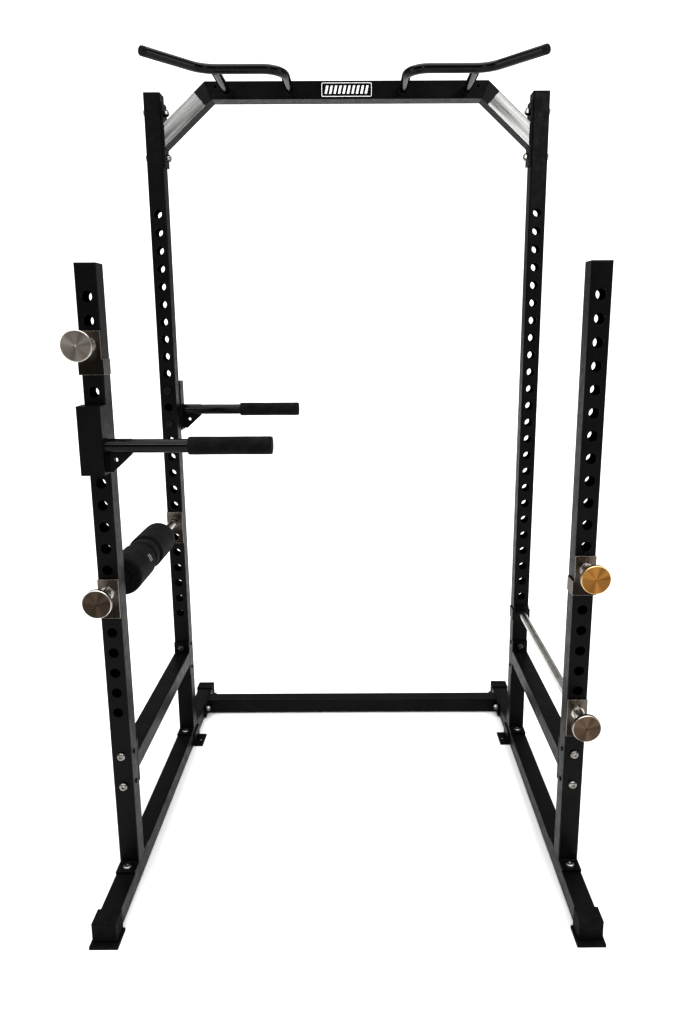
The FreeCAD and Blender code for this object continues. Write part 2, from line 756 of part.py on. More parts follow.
def fasteners():
    """Bolts and nuts, placed where the flanges meet the tubes."""
    past_nut = "(Sizes.nut_height + Sizes.bolt_spare)"
    through = f"(Sizes.tube_side + Sizes.flange_thick + {past_nut})"
    long_bolt = bolt_master("long_bolt_master", through)
    short_bolt = bolt_master("short_bolt_master", f"Sizes.flange_thick + Sizes.tube_wall + {past_nut}")
    nut = nut_master()
    brace, foot, floor_tube, beam, nuts = [], [], [], [], []
    grip = "(Sizes.tube_side + Sizes.flange_thick)"
    for sign in SIDES.values():
        x = side_x(sign)
        for z in bolt_spots("Sizes.brace_height"):
            rear_back = f"{REAR_Y} + {HALF_TUBE}"
            brace.append(copy_of(long_bolt, x, FRONT_FACE_Y, z, "-Y"))
            brace.append(copy_of(long_bolt, x, rear_back, z, "+Y"))
            nuts.append(copy_of(nut, x, f"{FRONT_FACE_Y} + {grip}", z, "+Y"))
            nuts.append(copy_of(nut, x, f"{rear_back} - {grip}", z, "-Y"))
        for y in bolt_spots(FRONT_Y) + bolt_spots(REAR_Y):
            foot.append(copy_of(short_bolt, x, y, UPRIGHT_BASE))
            nuts.append(copy_of(nut, x, y, f"{RAIL_TOP} - Sizes.tube_wall - Sizes.nut_height"))
        outward, inward = ("+X", "-X") if sign > 0 else ("-X", "+X")
        outer_x = f"{sign} * (Sizes.upright_spacing / 2 + {HALF_TUBE})"
        inner_x = f"{sign} * {PLATE_INNER_X}"
        for y in bolt_spots(CROSSMEMBER_Y):
            floor_tube.append(copy_of(long_bolt, outer_x, y, RAIL_MID, outward))
            nuts.append(copy_of(nut, inner_x, y, RAIL_MID, inward))
        for z in beam_bolt_levels():
            beam.append(copy_of(long_bolt, outer_x, REAR_Y, z, outward))
            nuts.append(copy_of(nut, inner_x, REAR_Y, z, inward))
    group("brace_bolts", brace)
    group("foot_plate_bolts", foot)
    group("crossmember_bolts", floor_tube)
    group("beam_bolts", beam)
    group("hex_nuts", nuts)


def side_rivets():
    """Small round-headed rivets on the inner faces of the uprights."""
    master = new_body("rivet_master")
    head = pad(master, add_sketch(master, "XY_Plane", circles=[("0", "0", "Sizes.rivet_dia / 2")]),
               "Sizes.rivet_height")
    top = value("Sizes.rivet_height")
    round_edges(master, head, "Sizes.rivet_round", rim_at("z", top))
    rivets = []
    for sign in SIDES.values():
        inward = "-X" if sign > 0 else "+X"
        face = f"{sign} * (Sizes.upright_spacing / 2 - {HALF_TUBE})"
        for y in (FRONT_Y, REAR_Y):
            for z in bolt_spots("Sizes.brace_height"):
                rivets.append(copy_of(master, face, y, z, inward))
    group("side_rivets", rivets)


# ---------------------------------------------------------------- hooks and bars

def peg(node, x, face_y, z, back):
    """Turned peg along Y: base ring on the plate, neck under the disc, chamfered back end."""
    front = "-Sizes.peg_reach"
    plate_face = "-Sizes.hook_plate_thick"
    ring = "Sizes.peg_ring_dia / 2"
    neck = "Sizes.peg_neck_dia / 2"
    outline = [
        ("0", front),
        (neck, front),
        (neck, f"{front} + Sizes.peg_neck_length"),
        (PEG_RADIUS, f"{front} + Sizes.peg_neck_length"),
        (PEG_RADIUS, f"{plate_face} - Sizes.peg_ring_length"),
        (ring, f"{plate_face} - Sizes.peg_ring_length"),
        (ring, plate_face),
        (PEG_RADIUS, plate_face),
        (PEG_RADIUS, f"{back} - Sizes.peg_chamfer"),
        (f"{PEG_RADIUS} - Sizes.peg_chamfer", back),
        ("0", back),
    ]
    body = new_body(node)
    revolve(body, outline)
    keep(node, place(body, x, face_y, z))


def disc(node, x, face_y, z):
    """Round stop on the peg's front, bevelled, with a small dimple in the middle."""
    rim = "Sizes.disc_dia / 2"
    back = "-Sizes.peg_reach"
    front = f"({back} - Sizes.disc_thick)"
    outline = [
        ("0", back),
        (f"{rim} - Sizes.disc_bevel / 2", back),
        (rim, f"{back} - Sizes.disc_bevel / 2"),
        (rim, f"{front} + Sizes.disc_bevel"),
        (f"{rim} - Sizes.disc_bevel", front),
        ("Sizes.disc_dimple", front),
        ("0", f"{front} + Sizes.disc_dimple / 2"),
    ]
    body = new_body(node)
    revolve(body, outline)
    keep(node, place(body, x, face_y, z))


def face_plate(node, x, face_y, z, top, bottom, ears):
    """Plate against an upright's front face; ears wrap the upright's sides and stop it turning."""
    body = new_body(node)
    outer = f"({HALF_TUBE} + Sizes.hook_ear_gap + Sizes.hook_ear_thick)"
    shoulder = f"(-{bottom} + Sizes.hook_ear_height)"
    if ears:
        outline = [
            (f"-{outer}", f"-{bottom}"),
            (outer, f"-{bottom}"),
            (outer, shoulder),
            (HALF_TUBE, shoulder),
            (HALF_TUBE, top),
            (f"-{HALF_TUBE}", top),
            (f"-{HALF_TUBE}", shoulder),
            (f"-{outer}", shoulder),
        ]
    else:
        outline = [
            (f"-{HALF_TUBE}", f"-{bottom}"),
            (HALF_TUBE, f"-{bottom}"),
            (HALF_TUBE, top),
            (f"-{HALF_TUBE}", top),
        ]
    pad(body, add_sketch(body, "XZ_Plane", polygons=[outline]), "Sizes.hook_plate_thick")
    if ears:
        half_ear = "Sizes.hook_ear_thick / 2"
        centre = f"({HALF_TUBE} + Sizes.hook_ear_gap + {half_ear})"
        level = f"(-{bottom} + Sizes.hook_ear_height / 2)"
        outlines = [rectangle(half_ear, "Sizes.hook_ear_height / 2", x=f"{way}{centre}", y=level)
                    for way in ("-", "")]
        pad(body, add_sketch(body, "XZ_Plane", polygons=outlines), "Sizes.hook_ear_depth", backwards=True)
    drill(body, "XZ_Plane", [("0", "0")], radius=BORE_RADIUS)
    return keep(node, place(body, x, face_y, z))


def saddle(node, x, z, top, bottom, ears):
    """Plate on a rear upright's front face, with the collar that a bar runs through."""
    body = face_plate(node, x, REAR_FACE_Y, z, top, bottom, ears)
    collar_face = "Sizes.hook_plate_thick"
    for diameter, length in (("saddle_collar_dia", "Sizes.saddle_collar_length"),
                             ("saddle_neck_dia", "Sizes.saddle_collar_length + Sizes.saddle_neck_length")):
        ring = add_sketch(body, "XZ_Plane", offset=collar_face,
                          circles=[("0", "0", f"Sizes.{diameter} / 2"), ("0", "0", BORE_RADIUS)])
        pad(body, ring, length)
    return body


def hooks_and_bars():
    """Two short hooks, the left bar with the roller's saddle and the right safety bar."""
    plate_size = ("Sizes.hook_plate_top", "Sizes.hook_plate_bottom")
    short_back = "Sizes.tube_side + Sizes.peg_overrun"
    long_back = "Sizes.bay_depth + Sizes.tube_side + Sizes.peg_overrun"
    fittings = (
        ("left_hook", -1, LEFT_HOOK_HOLE, short_back, True),
        ("right_hook", 1, RIGHT_HOOK_HOLE, short_back, True),
        ("roller_bar", -1, ROLLER_HOLE, long_back, False),
        ("safety_bar", 1, SAFETY_HOLE, long_back, False),
    )
    for name, sign, hole, back, ears in fittings:
        x, z = side_x(sign), hole_level(hole)
        face_plate(f"{name}_plate", x, FRONT_FACE_Y, z, *plate_size, ears)
        peg(f"{name}_rod", x, FRONT_FACE_Y, z, back)
        disc(f"{name}_disc", x, FRONT_FACE_Y, z)
    tall = saddle("roller_bar_saddle", side_x(-1), hole_level(ROLLER_HOLE),
                  "Sizes.hook_plate_top", "Sizes.saddle_plate_bottom", False)
    drill(tall, "XZ_Plane", [("0", "-Sizes.hole_pitch")], radius=BORE_RADIUS)
    saddle("safety_bar_saddle", side_x(1), hole_level(SAFETY_HOLE),
           "Sizes.clip_top", "Sizes.clip_bottom", True)


# ---------------------------------------------------------------- foam roller

def roller():
    """Foam roll with a groove, on a plastic core tube that turns on the left bar."""
    x, z = side_x(-1), hole_level(ROLLER_HOLE)
    y = f"{FRONT_Y} + {HALF_TUBE} + Sizes.roller_gap"
    core_radius = "Sizes.roller_core_dia / 2"
    core = new_body("roller_core")
    revolve(core, [(BORE_RADIUS, "0"), (core_radius, "0"),
                   (core_radius, "Sizes.roller_length"), (BORE_RADIUS, "Sizes.roller_length")])
    keep("roller_core", place(core, x, y, z))
    pad_radius = "Sizes.roller_dia / 2"
    groove_radius = "Sizes.roller_groove_dia / 2"
    foam = new_body("roller_foam")
    revolve(foam, [
        (core_radius, "0"),
        (pad_radius, "0"),
        (pad_radius, "Sizes.roller_groove_start"),
        (groove_radius, "Sizes.roller_groove_start"),
        (groove_radius, "Sizes.roller_groove_end"),
        (pad_radius, "Sizes.roller_groove_end"),
        (pad_radius, "Sizes.roller_length"),
        (core_radius, "Sizes.roller_length"),
    ])
    keep("roller_foam", place(foam, x, y, z))


# ---------------------------------------------------------------- dip handles

def dip_handle(name, y_face, way):
    """Box bracket with two pins and an inward handle; `way` is -1 in front, +1 behind."""
    x = side_x(-1)
    z = hole_level(DIP_LEVEL)
    bar_z = f"({z} - Sizes.dip_drop)"
    mid_y = f"({y_face} + {way} * Sizes.bracket_depth / 2)"
    inner_side = f"({x} + Sizes.bracket_width / 2)"

    bracket = new_body(f"{name}_bracket")
    half_width, half_depth = "Sizes.bracket_width / 2", "Sizes.bracket_depth / 2"
    outline = add_sketch(bracket, "XY_Plane", polygons=[rectangle(half_width, half_depth)])
    solid = pad(bracket, outline, "Sizes.bracket_height", midplane=True)
    round_edges(bracket, solid, "Sizes.tube_wall", lambda edge: runs_along(edge, NORMALS["XY_Plane"]))
    inside = rectangle(f"({half_width} - Sizes.tube_wall)", f"({half_depth} - Sizes.tube_wall)")
    opening = add_sketch(bracket, "XY_Plane", polygons=[inside],
                         offset="-Sizes.bracket_height / 2")
    pocket(bracket, opening, length="Sizes.bracket_height - Sizes.tube_wall",
           midplane=False, backwards=True)
    keep(bracket.Name, place(bracket, x, mid_y, z))

    towards = "+Y" if way < 0 else "-Y"
    pin_length = "Sizes.tube_side + Sizes.peg_overrun"
    pins = [cylinder(f"{name}_pin_{hole}", PEG_RADIUS, pin_length, (x, y_face, hole_level(hole)), towards)
            for hole in DIP_HOLES]
    group(f"{name}_pins", pins)

    shaft = cylinder(f"{name}_shaft", "Sizes.dip_shaft_dia / 2", "Sizes.dip_shaft_length",
                     (inner_side, mid_y, bar_z), "+X")
    sleeve = cylinder(f"{name}_sleeve", "Sizes.dip_sleeve_dia / 2", "Sizes.dip_sleeve_length",
                      (inner_side, mid_y, bar_z), "+X")
    keep(f"{name}_bar", fuse(f"{name}_bar", [shaft, sleeve]))

    gusset = new_body(f"{name}_gusset")
    edge = "Sizes.dip_sleeve_dia / 2"
    foot = f"(-{edge} - Sizes.gusset_height)"
    corners = [("0", f"-{edge}"), ("Sizes.gusset_width", f"-{edge}"), ("Sizes.gusset_toe", foot), ("0", foot)]
    spot = ("Sizes.gusset_bore_out", f"-{edge} - Sizes.gusset_bore_drop", "Sizes.gusset_bore / 2")
    pad(gusset, add_sketch(gusset, "XZ_Plane", polygons=[corners], circles=[spot]),
        "Sizes.gusset_thick", midplane=True)
    keep(gusset.Name, place(gusset, inner_side, mid_y, bar_z))

    grip = new_body(f"{name}_grip")
    grip_start = "(Sizes.dip_shaft_length - Sizes.dip_grip_length + Sizes.dip_grip_round)"
    ring = add_sketch(grip, "YZ_Plane", offset=grip_start, circles=[("0", "0", "Sizes.dip_grip_dia / 2")])
    foam = pad(grip, ring, "Sizes.dip_grip_length")
    grip_end = value(f"{grip_start} + Sizes.dip_grip_length")
    round_edges(grip, foam, "Sizes.dip_grip_round", rim_at("x", grip_end))
    shaft_hole = add_sketch(grip, "YZ_Plane", circles=[("0", "0", "Sizes.dip_shaft_dia / 2")])
    pocket(grip, shaft_hole, length="Sizes.dip_shaft_length", midplane=False, backwards=True)
    keep(grip.Name, place(grip, inner_side, mid_y, bar_z))


# ---------------------------------------------------------------- whole cage

def build():
    fill_sheet()
    for side, sign in SIDES.items():
        base_rail(side, sign)
        end_foot(f"front_{side}_foot", sign, -1)
        end_foot(f"rear_{side}_foot", sign, 1)
        side_brace(side, sign)
        floor_tab(side, sign)
        upright(f"front_{side}_upright", sign, FRONT_Y, "Sizes.front_height",
                "Sizes.front_hole_top", "Sizes.front_hole_count", beam_bolts=False)
        upright(f"rear_{side}_upright", sign, REAR_Y, "Sizes.rear_height",
                "Sizes.rear_hole_top", "Sizes.rear_hole_count", beam_bolts=True)
        beam_diagonal(side, sign)
        beam_end_plate(side, sign)
        pull_up_handle(side, sign)
    rear_floor_crossmember()
    foot_plates()
    top_caps()
    beam_middle()
    label_plate()
    handle_end_caps()
    fasteners()
    side_rivets()
    hooks_and_bars()
    roller()
    dip_handle("front_dip", FRONT_FACE_Y, -1)
    dip_handle("rear_dip", f"({REAR_Y} + {HALF_TUBE})", 1)
    DOC.recompute()


def check_and_write():
    failed = [item.Name for item in DOC.Objects if "Invalid" in item.State or "Error" in item.State]
    if failed:
        raise RuntimeError(f"objects that failed to build: {failed}")
    for node, item in nodes.items():
        if item.Shape.isNull() or not item.Shape.isValid() or not item.Shape.Solids:
            raise RuntimeError(f"{node} has no valid solid")
    os.makedirs("parts", exist_ok=True)
    for node, item in nodes.items():
        item.Shape.exportStep(os.path.join("parts", f"{node}.step"))
        bounds = item.Shape.BoundBox
        print(f"{node:28s} solids {len(item.Shape.Solids):2d}  volume {item.Shape.Volume / 1000:9.1f} cm3  "
              f"X {bounds.XMin:7.1f} {bounds.XMax:7.1f}  Y {bounds.YMin:7.1f} {bounds.YMax:7.1f}  "
              f"Z {bounds.ZMin:7.1f} {bounds.ZMax:7.1f}")
    print(len(nodes), "nodes")


build()
check_and_write()
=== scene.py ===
import json
import math

import bmesh
import bpy
from mathutils import Matrix, Vector
from mathutils.noise import noise as smooth_noise


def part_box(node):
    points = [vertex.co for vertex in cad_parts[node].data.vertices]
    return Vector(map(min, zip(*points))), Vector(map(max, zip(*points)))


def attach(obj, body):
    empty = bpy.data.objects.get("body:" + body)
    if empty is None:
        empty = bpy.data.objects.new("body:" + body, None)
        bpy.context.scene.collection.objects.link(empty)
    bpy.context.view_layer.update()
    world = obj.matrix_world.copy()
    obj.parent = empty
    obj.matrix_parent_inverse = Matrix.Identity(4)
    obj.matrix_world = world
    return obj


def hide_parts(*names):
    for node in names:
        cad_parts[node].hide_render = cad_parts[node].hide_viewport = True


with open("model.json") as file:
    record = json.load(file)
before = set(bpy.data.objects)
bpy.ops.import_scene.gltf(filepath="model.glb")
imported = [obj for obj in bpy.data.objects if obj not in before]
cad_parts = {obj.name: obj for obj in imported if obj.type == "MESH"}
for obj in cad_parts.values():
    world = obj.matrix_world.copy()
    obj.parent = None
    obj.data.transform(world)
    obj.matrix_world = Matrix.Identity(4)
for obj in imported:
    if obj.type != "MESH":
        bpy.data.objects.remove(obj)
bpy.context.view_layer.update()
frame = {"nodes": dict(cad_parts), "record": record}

NODES = frame["nodes"]
SLOT_OF = {part["node"]: part["material_slot"] for part in frame["record"]["subparts"]}

MM = 0.001

# The raised beam's sloping ends: their angle, and how far down the slope the bare steel starts.
BEAM_SLOPE = math.radians(42)
BARE_STEEL_FROM = -1.086

# Where a disc's bevel starts, as a share of its diameter from the middle.
BEVEL_FROM = 0.469

# How far an edge's softened normal has to lean before the painted edge highlight is full.
EDGE_HIGHLIGHT_FROM = 1.0 / 9.0


# ---------------------------------------------------------------- camera

# Fitted to the photograph: place in metres, focal length and principal point in pixels.
CAMERA_AT = Vector((0.0352, -2.0496, 1.4540))
CAMERA_PITCH = math.radians(11.122)
CAMERA_YAW = math.radians(0.036)
CAMERA_ROLL = math.radians(0.261)
IMAGE_WIDTH, IMAGE_HEIGHT = 690, 1024
FOCAL_PIXELS = 716.84
PRINCIPAL_X, PRINCIPAL_Y = 360.68, 465.92
SENSOR = 36.0


def make_camera():
    """The photograph's camera; its roll is turned into the axes."""
    ahead = Vector((math.sin(CAMERA_YAW) * math.cos(CAMERA_PITCH),
                    math.cos(CAMERA_YAW) * math.cos(CAMERA_PITCH),
                    -math.sin(CAMERA_PITCH)))
    level = Vector((math.cos(CAMERA_YAW), -math.sin(CAMERA_YAW), 0.0))
    down = ahead.cross(level)
    right = level * math.cos(CAMERA_ROLL) + down * math.sin(CAMERA_ROLL)
    below = down * math.cos(CAMERA_ROLL) - level * math.sin(CAMERA_ROLL)
    data = bpy.data.cameras.new("camera")
    data.sensor_width = SENSOR
    data.lens = FOCAL_PIXELS / IMAGE_HEIGHT * SENSOR
    data.shift_x = (IMAGE_WIDTH / 2 - PRINCIPAL_X) / IMAGE_HEIGHT
    data.shift_y = (PRINCIPAL_Y - IMAGE_HEIGHT / 2) / IMAGE_HEIGHT
    data.clip_start, data.clip_end = 0.05, 200.0
    camera = bpy.data.objects.new("camera", data)
    turn = Matrix((right, -below, -ahead)).transposed()
    camera.matrix_world = Matrix.Translation(CAMERA_AT) @ turn.to_4x4()
    bpy.context.scene.collection.objects.link(camera)
    bpy.context.scene.camera = camera


# ---------------------------------------------------------------- materials

def set_range(node, start, end, low, high):
    """Set a Map Range node to turn start..end into low..high."""
    for socket, number in zip(("From Min", "From Max", "To Min", "To Max"), (start, end, low, high)):
        node.inputs[socket].default_value = number


class Surface:
    """A node material with a Principled shader and short ways to add texture nodes."""

    def __init__(self, name, **settings):
        self.material = bpy.data.materials.new(name)
        self.material.use_nodes = True
        self.tree = self.material.node_tree
        self.tree.nodes.clear()
        self.shader = self.add("ShaderNodeBsdfPrincipled")
        output = self.add("ShaderNodeOutputMaterial")
        self.link(self.shader.outputs["BSDF"], output.inputs["Surface"])
        for socket, number in settings.items():
            self.shader.inputs[socket.replace("_", " ")].default_value = number

    def add(self, kind, **values):
        node = self.tree.nodes.new(kind)
        for key, number in values.items():
            setattr(node, key, number)
        return node

    def link(self, source, target):
        self.tree.links.new(source, target)

    def coordinates(self, kind):
        return self.add("ShaderNodeTexCoord").outputs[kind]

    def parts(self, vector):
        """The X, Y and Z of a vector, as sockets by name."""
        node = self.add("ShaderNodeSeparateXYZ")
        self.link(vector, node.inputs["Vector"])
        return node.outputs

    def place(self, scale=(1, 1, 1), rotation=(0, 0, 0)):
        """Object coordinates, turned and then stretched."""
        start = self.coordinates("Object")
        turn = self.add("ShaderNodeMapping")
        turn.inputs["Rotation"].default_value = rotation
        self.link(start, turn.inputs["Vector"])
        stretch = self.add("ShaderNodeVectorMath", operation="MULTIPLY")
        self.link(turn.outputs["Vector"], stretch.inputs[0])
        stretch.inputs[1].default_value = scale
        return stretch.outputs["Vector"]

    def noise(self, vector, scale, detail=2.0, roughness=0.5):
        node = self.add("ShaderNodeTexNoise")
        node.inputs["Scale"].default_value = scale
        node.inputs["Detail"].default_value = detail
        node.inputs["Roughness"].default_value = roughness
        self.link(vector, node.inputs["Vector"])
        return node.outputs["Fac"]

    def cells(self, vector, scale):
        node = self.add("ShaderNodeTexVoronoi")
        node.inputs["Scale"].default_value = scale
        self.link(vector, node.inputs["Vector"])
        return node.outputs["Distance"]

    def spread(self, value, low, high, start=0.3, end=0.7):
        """Map a texture value from start..end to low..high."""
        node = self.add("ShaderNodeMapRange")
        set_range(node, start, end, low, high)
        self.link(value, node.inputs["Value"])
        return node.outputs["Result"]

    def math(self, operation, first, second=0.0):
        node = self.add("ShaderNodeMath", operation=operation)
        for socket, value in zip(node.inputs, (first, second)):
            if isinstance(value, (int, float)):
                socket.default_value = value
            else:
                self.link(value, socket)
        return node.outputs["Value"]

    def blend(self, factor, first, second):
        """Mix two colours, each a tuple or a socket."""
        node = self.add("ShaderNodeMix", data_type="RGBA")
        self.link(factor, node.inputs["Factor"])
        colour_inputs = [socket for socket in node.inputs if socket.type == "RGBA"]
        for socket, colour in zip(colour_inputs, (first, second)):
            if isinstance(colour, tuple):
                socket.default_value = (*colour, 1.0)
            else:
                self.link(colour, socket)
        return next(socket for socket in node.outputs if socket.type == "RGBA")

    def colour(self, value):
        self.link(value, self.shader.inputs["Base Color"])

    def mottle(self, at, scale, dark, pale, detail=2.0):
        """Base colour that drifts between two tones."""
        self.colour(self.blend(self.spread(self.noise(at, scale, detail), 0.0, 1.0), dark, pale))

    def roughness(self, value):
        self.link(value, self.shader.inputs["Roughness"])

    def metallic(self, value):
        self.link(value, self.shader.inputs["Metallic"])

    def edge_highlight_mask(self, radius):
        """1 along the outer edges of the shape, 0 on its flat faces: the mask of a painted edge
        highlight.
        """
        soften = self.add("ShaderNodeBevel", samples=6)
        soften.inputs["Radius"].default_value = radius
        compare = self.add("ShaderNodeVectorMath", operation="DOT_PRODUCT")
        self.link(soften.outputs["Normal"], compare.inputs[0])
        self.link(self.add("ShaderNodeNewGeometry").outputs["Normal"], compare.inputs[1])
        bent = self.math("SUBTRACT", 1.0, compare.outputs["Value"])
        return self.spread(bent, 0.0, 1.0, 0.01, EDGE_HIGHLIGHT_FROM)

    def relief(self, height, distance, edge=0.0008):
        """Bump from a height value, over softened edges."""
        bump = self.add("ShaderNodeBump")
        bump.inputs["Strength"].default_value = 1.0
        bump.inputs["Distance"].default_value = distance
        self.link(height, bump.inputs["Height"])
        if edge:
            soften = self.add("ShaderNodeBevel", samples=4)
            soften.inputs["Radius"].default_value = edge
            self.link(soften.outputs["Normal"], bump.inputs["Normal"])
        self.link(bump.outputs["Normal"], self.shader.inputs["Normal"])


def powder_coat():
    """Satin black coat: orange-peel grain, faint clouding and a few pale specks."""
    s = Surface("powder_coat", Specular_IOR_Level=0.16)
    at = s.place()
    cloud = s.noise(at, 14.0, 3.0)
    speck = s.math("LESS_THAN", s.cells(at, 46.0), 0.045)
    scuff = s.math("MULTIPLY", speck, s.spread(s.noise(at, 9.0), 0.0, 0.7, 0.5, 0.62))
    base = s.blend(s.spread(cloud, 0.0, 1.0), (0.0035, 0.0035, 0.0037), (0.0075, 0.0075, 0.0078))
    s.colour(s.blend(scuff, base, (0.05, 0.05, 0.05)))
    s.roughness(s.spread(s.noise(at, 55.0), 0.33, 0.45))
    grain = s.math("ADD", s.noise(at, 620.0), s.math("MULTIPLY", s.noise(at, 170.0), 1.4))
    s.relief(grain, 0.00009)
    return s.material


def gloss_coat():
    """Smooth semi-gloss black coat with a slight flow texture."""
    s = Surface("gloss_coat", Specular_IOR_Level=0.28)
    at = s.place()
    s.mottle(at, 20.0, (0.003, 0.003, 0.0032), (0.006, 0.006, 0.0064))
    s.roughness(s.spread(s.noise(at, 48.0), 0.10, 0.16))
    s.relief(s.noise(at, 240.0), 0.00007)
    return s.material


def bare_diagonal(name, sign):
    """Brushed bare steel on the front and top, streaked along the tube; black coat elsewhere, with
    painted shade darkening it on the underside and back.
    """
    s = Surface(name, Specular_IOR_Level=0.09)
    along = (0.0, -sign * BEAM_SLOPE, 0.0)
    streaks = s.noise(s.place((2.0, 230.0, 230.0), rotation=along), 1.0, 4.0, 0.65)
    fine = s.noise(s.place((8.0, 1400.0, 1400.0), rotation=along), 1.0, 2.0)
    bands = s.noise(s.place((2.5, 60.0, 60.0), rotation=along), 1.0, 2.0)
    steel = s.blend(s.spread(streaks, 0.0, 1.0), (0.050, 0.049, 0.048), (0.30, 0.297, 0.293))
    steel = s.blend(s.spread(bands, 0.0, 0.8, 0.42, 0.70), steel, (0.58, 0.58, 0.575))
    facing = s.parts(s.coordinates("Normal"))
    low_side = s.math("LESS_THAN", facing["Z"], -0.3)
    back_side = s.math("GREATER_THAN", facing["Y"], 0.5)
    down_tube = s.math("MULTIPLY", s.parts(s.place(rotation=along))["X"], float(sign))
    ragged = s.math("MULTIPLY", s.noise(s.place(), 60.0), 0.008)
    corner = s.math("LESS_THAN", s.math("ADD", down_tube, ragged), BARE_STEEL_FROM)
    # The underside and back: coated faces, which also get painted shade.
    shaded_coat_side = s.math("MAXIMUM", low_side, back_side)
    coated = s.math("MAXIMUM", shaded_coat_side, corner)
    # The coat is lighter on the corner and painted darker on the underside and back, as painted shade.
    coat_with_painted_shade = s.blend(shaded_coat_side, (0.024, 0.024, 0.0245), (0.004, 0.004, 0.0045))
    s.colour(s.blend(coated, steel, coat_with_painted_shade))
    s.metallic(s.math("SUBTRACT", 1.0, coated))
    s.roughness(s.spread(streaks, 0.34, 0.50))
    s.relief(s.math("ADD", fine, streaks), 0.00004)
    return s.material


def rubber_foot():
    """Matt moulded rubber with a fine pebble and dusty patches."""
    s = Surface("rubber_foot", Specular_IOR_Level=0.14)
    at = s.place()
    dust = s.spread(s.noise(at, 26.0, 4.0), 0.0, 0.8, 0.45, 0.75)
    s.colour(s.blend(dust, (0.0055, 0.0055, 0.0058), (0.014, 0.014, 0.014)))
    s.roughness(s.spread(s.noise(at, 90.0), 0.62, 0.82))
    s.relief(s.math("ADD", s.cells(at, 900.0), s.noise(at, 240.0)), 0.00012, edge=0.0016)
    return s.material


def black_plastic():
    """Matt moulded plastic with a spark-eroded grain."""
    s = Surface("black_plastic", Specular_IOR_Level=0.2)
    at = s.place()
    s.mottle(at, 30.0, (0.005, 0.005, 0.0055), (0.010, 0.010, 0.0105))
    s.roughness(s.spread(s.noise(at, 120.0), 0.44, 0.60))
    s.relief(s.cells(at, 1500.0), 0.00006)
    return s.material


def label_plate_finish():
    """Gloss black plate with hair-fine handling marks."""
    s = Surface("label", Specular_IOR_Level=0.22)
    at = s.place((1.0, 1.0, 12.0))
    s.mottle(at, 90.0, (0.004, 0.004, 0.0045), (0.009, 0.009, 0.0095))
    s.roughness(s.spread(s.noise(at, 160.0, 3.0), 0.20, 0.36))
    s.relief(s.noise(at, 400.0), 0.00003, edge=0.0005)
    return s.material


def label_print():
    """White print with a slight ink mottle."""
    s = Surface("label_print", Specular_IOR_Level=0.4)
    at = s.place()
    s.mottle(at, 500.0, (0.74, 0.74, 0.74), (0.90, 0.90, 0.89))
    s.roughness(s.spread(s.noise(at, 300.0), 0.38, 0.52))
    s.relief(s.noise(at, 900.0), 0.00002, edge=0.0)
    return s.material


def zinc_fastener():
    """Bright zinc plate, slightly clouded, with tool marks."""
    s = Surface("zinc_fastener", Metallic=1.0)
    at = s.place()
    s.mottle(at, 130.0, (0.19, 0.18, 0.165), (0.36, 0.35, 0.33), detail=3.0)
    s.roughness(s.spread(s.noise(at, 420.0), 0.18, 0.36))
    s.relief(s.noise(at, 1100.0), 0.00005, edge=0.0007)
    return s.material


def brushed_plate():
    """Warm brushed steel with a painted highlight along its cut edges, and painted shade that darkens it
    down from its top and on its sideways faces.
    """
    s = Surface("brushed_plate", Metallic=1.0)
    lines = s.noise(s.place((2600.0, 700.0, 40.0)), 1.0, 2.0, 0.6)
    # Painted shade darkens the plate down from its top; this noise wobbles where it begins.
    shade_wobble = s.noise(s.place((1.0, 1.0, 0.55)), 30.0, 1.5)
    height = s.parts(s.coordinates("Generated"))["Z"]
    shade = s.math("ADD", height, s.spread(shade_wobble, -0.16, 0.16))
    # Faces turned sideways get more painted shade.
    side_face_shade = s.math("ABSOLUTE", s.parts(s.coordinates("Normal"))["X"])
    drawn = s.spread(lines, 0.0, 1.0, 0.35, 0.65)
    base = s.blend(drawn, (0.125, 0.108, 0.092), (0.185, 0.163, 0.142))
    # The shaded copy of the steel, used for the painted shade lower down.
    dark = s.blend(drawn, (0.018, 0.0145, 0.012), (0.040, 0.033, 0.028))
    base = s.blend(s.spread(shade, 0.0, 1.0, 0.30, 0.85), dark, base)
    base = s.blend(s.spread(side_face_shade, 0.0, 0.75, 0.4, 0.8), base, (0.030, 0.025, 0.021))
    # Painted highlight along the edges.
    s.colour(s.blend(s.edge_highlight_mask(0.0016), base, (0.42, 0.385, 0.35)))
    s.roughness(s.spread(lines, 0.24, 0.36))
    s.relief(lines, 0.00002, edge=0.0011)
    return s.material


def coated_saddle():
    """Black coat over a turned collar, with rubbed patches."""
    s = Surface("coated_saddle", Specular_IOR_Level=0.22)
    at = s.place()
    rub = s.spread(s.noise(at, 75.0, 4.0), 0.0, 0.5, 0.55, 0.75)
    s.colour(s.blend(rub, (0.005, 0.005, 0.0055), (0.035, 0.035, 0.035)))
    s.roughness(s.spread(s.noise(at, 60.0), 0.30, 0.42))
    s.relief(s.noise(at, 560.0), 0.00008)
    return s.material


def chrome_bar():
    """Polished chrome with fine turning marks round the bar and faint handling haze."""
    s = Surface("chrome_bar", Metallic=1.0)
    marks = s.noise(s.place((30.0, 2200.0, 30.0)), 1.0, 2.0)
    haze = s.noise(s.place(), 36.0, 3.0)
    s.colour(s.blend(s.spread(haze, 0.0, 1.0), (0.44, 0.425, 0.40), (0.62, 0.605, 0.58)))
    s.roughness(s.spread(haze, 0.20, 0.30))
    s.relief(marks, 0.00001, edge=0.0006)
    return s.material


def dark_pin():
    """Phosphated steel: near-black, faintly mottled."""
    s = Surface("dark_pin", Specular_IOR_Level=0.3, Metallic=0.7)
    at = s.place()
    s.mottle(at, 90.0, (0.012, 0.012, 0.0125), (0.030, 0.030, 0.031))
    s.roughness(s.spread(s.noise(at, 140.0), 0.34, 0.50))
    s.relief(s.noise(at, 900.0), 0.00004)
    return s.material


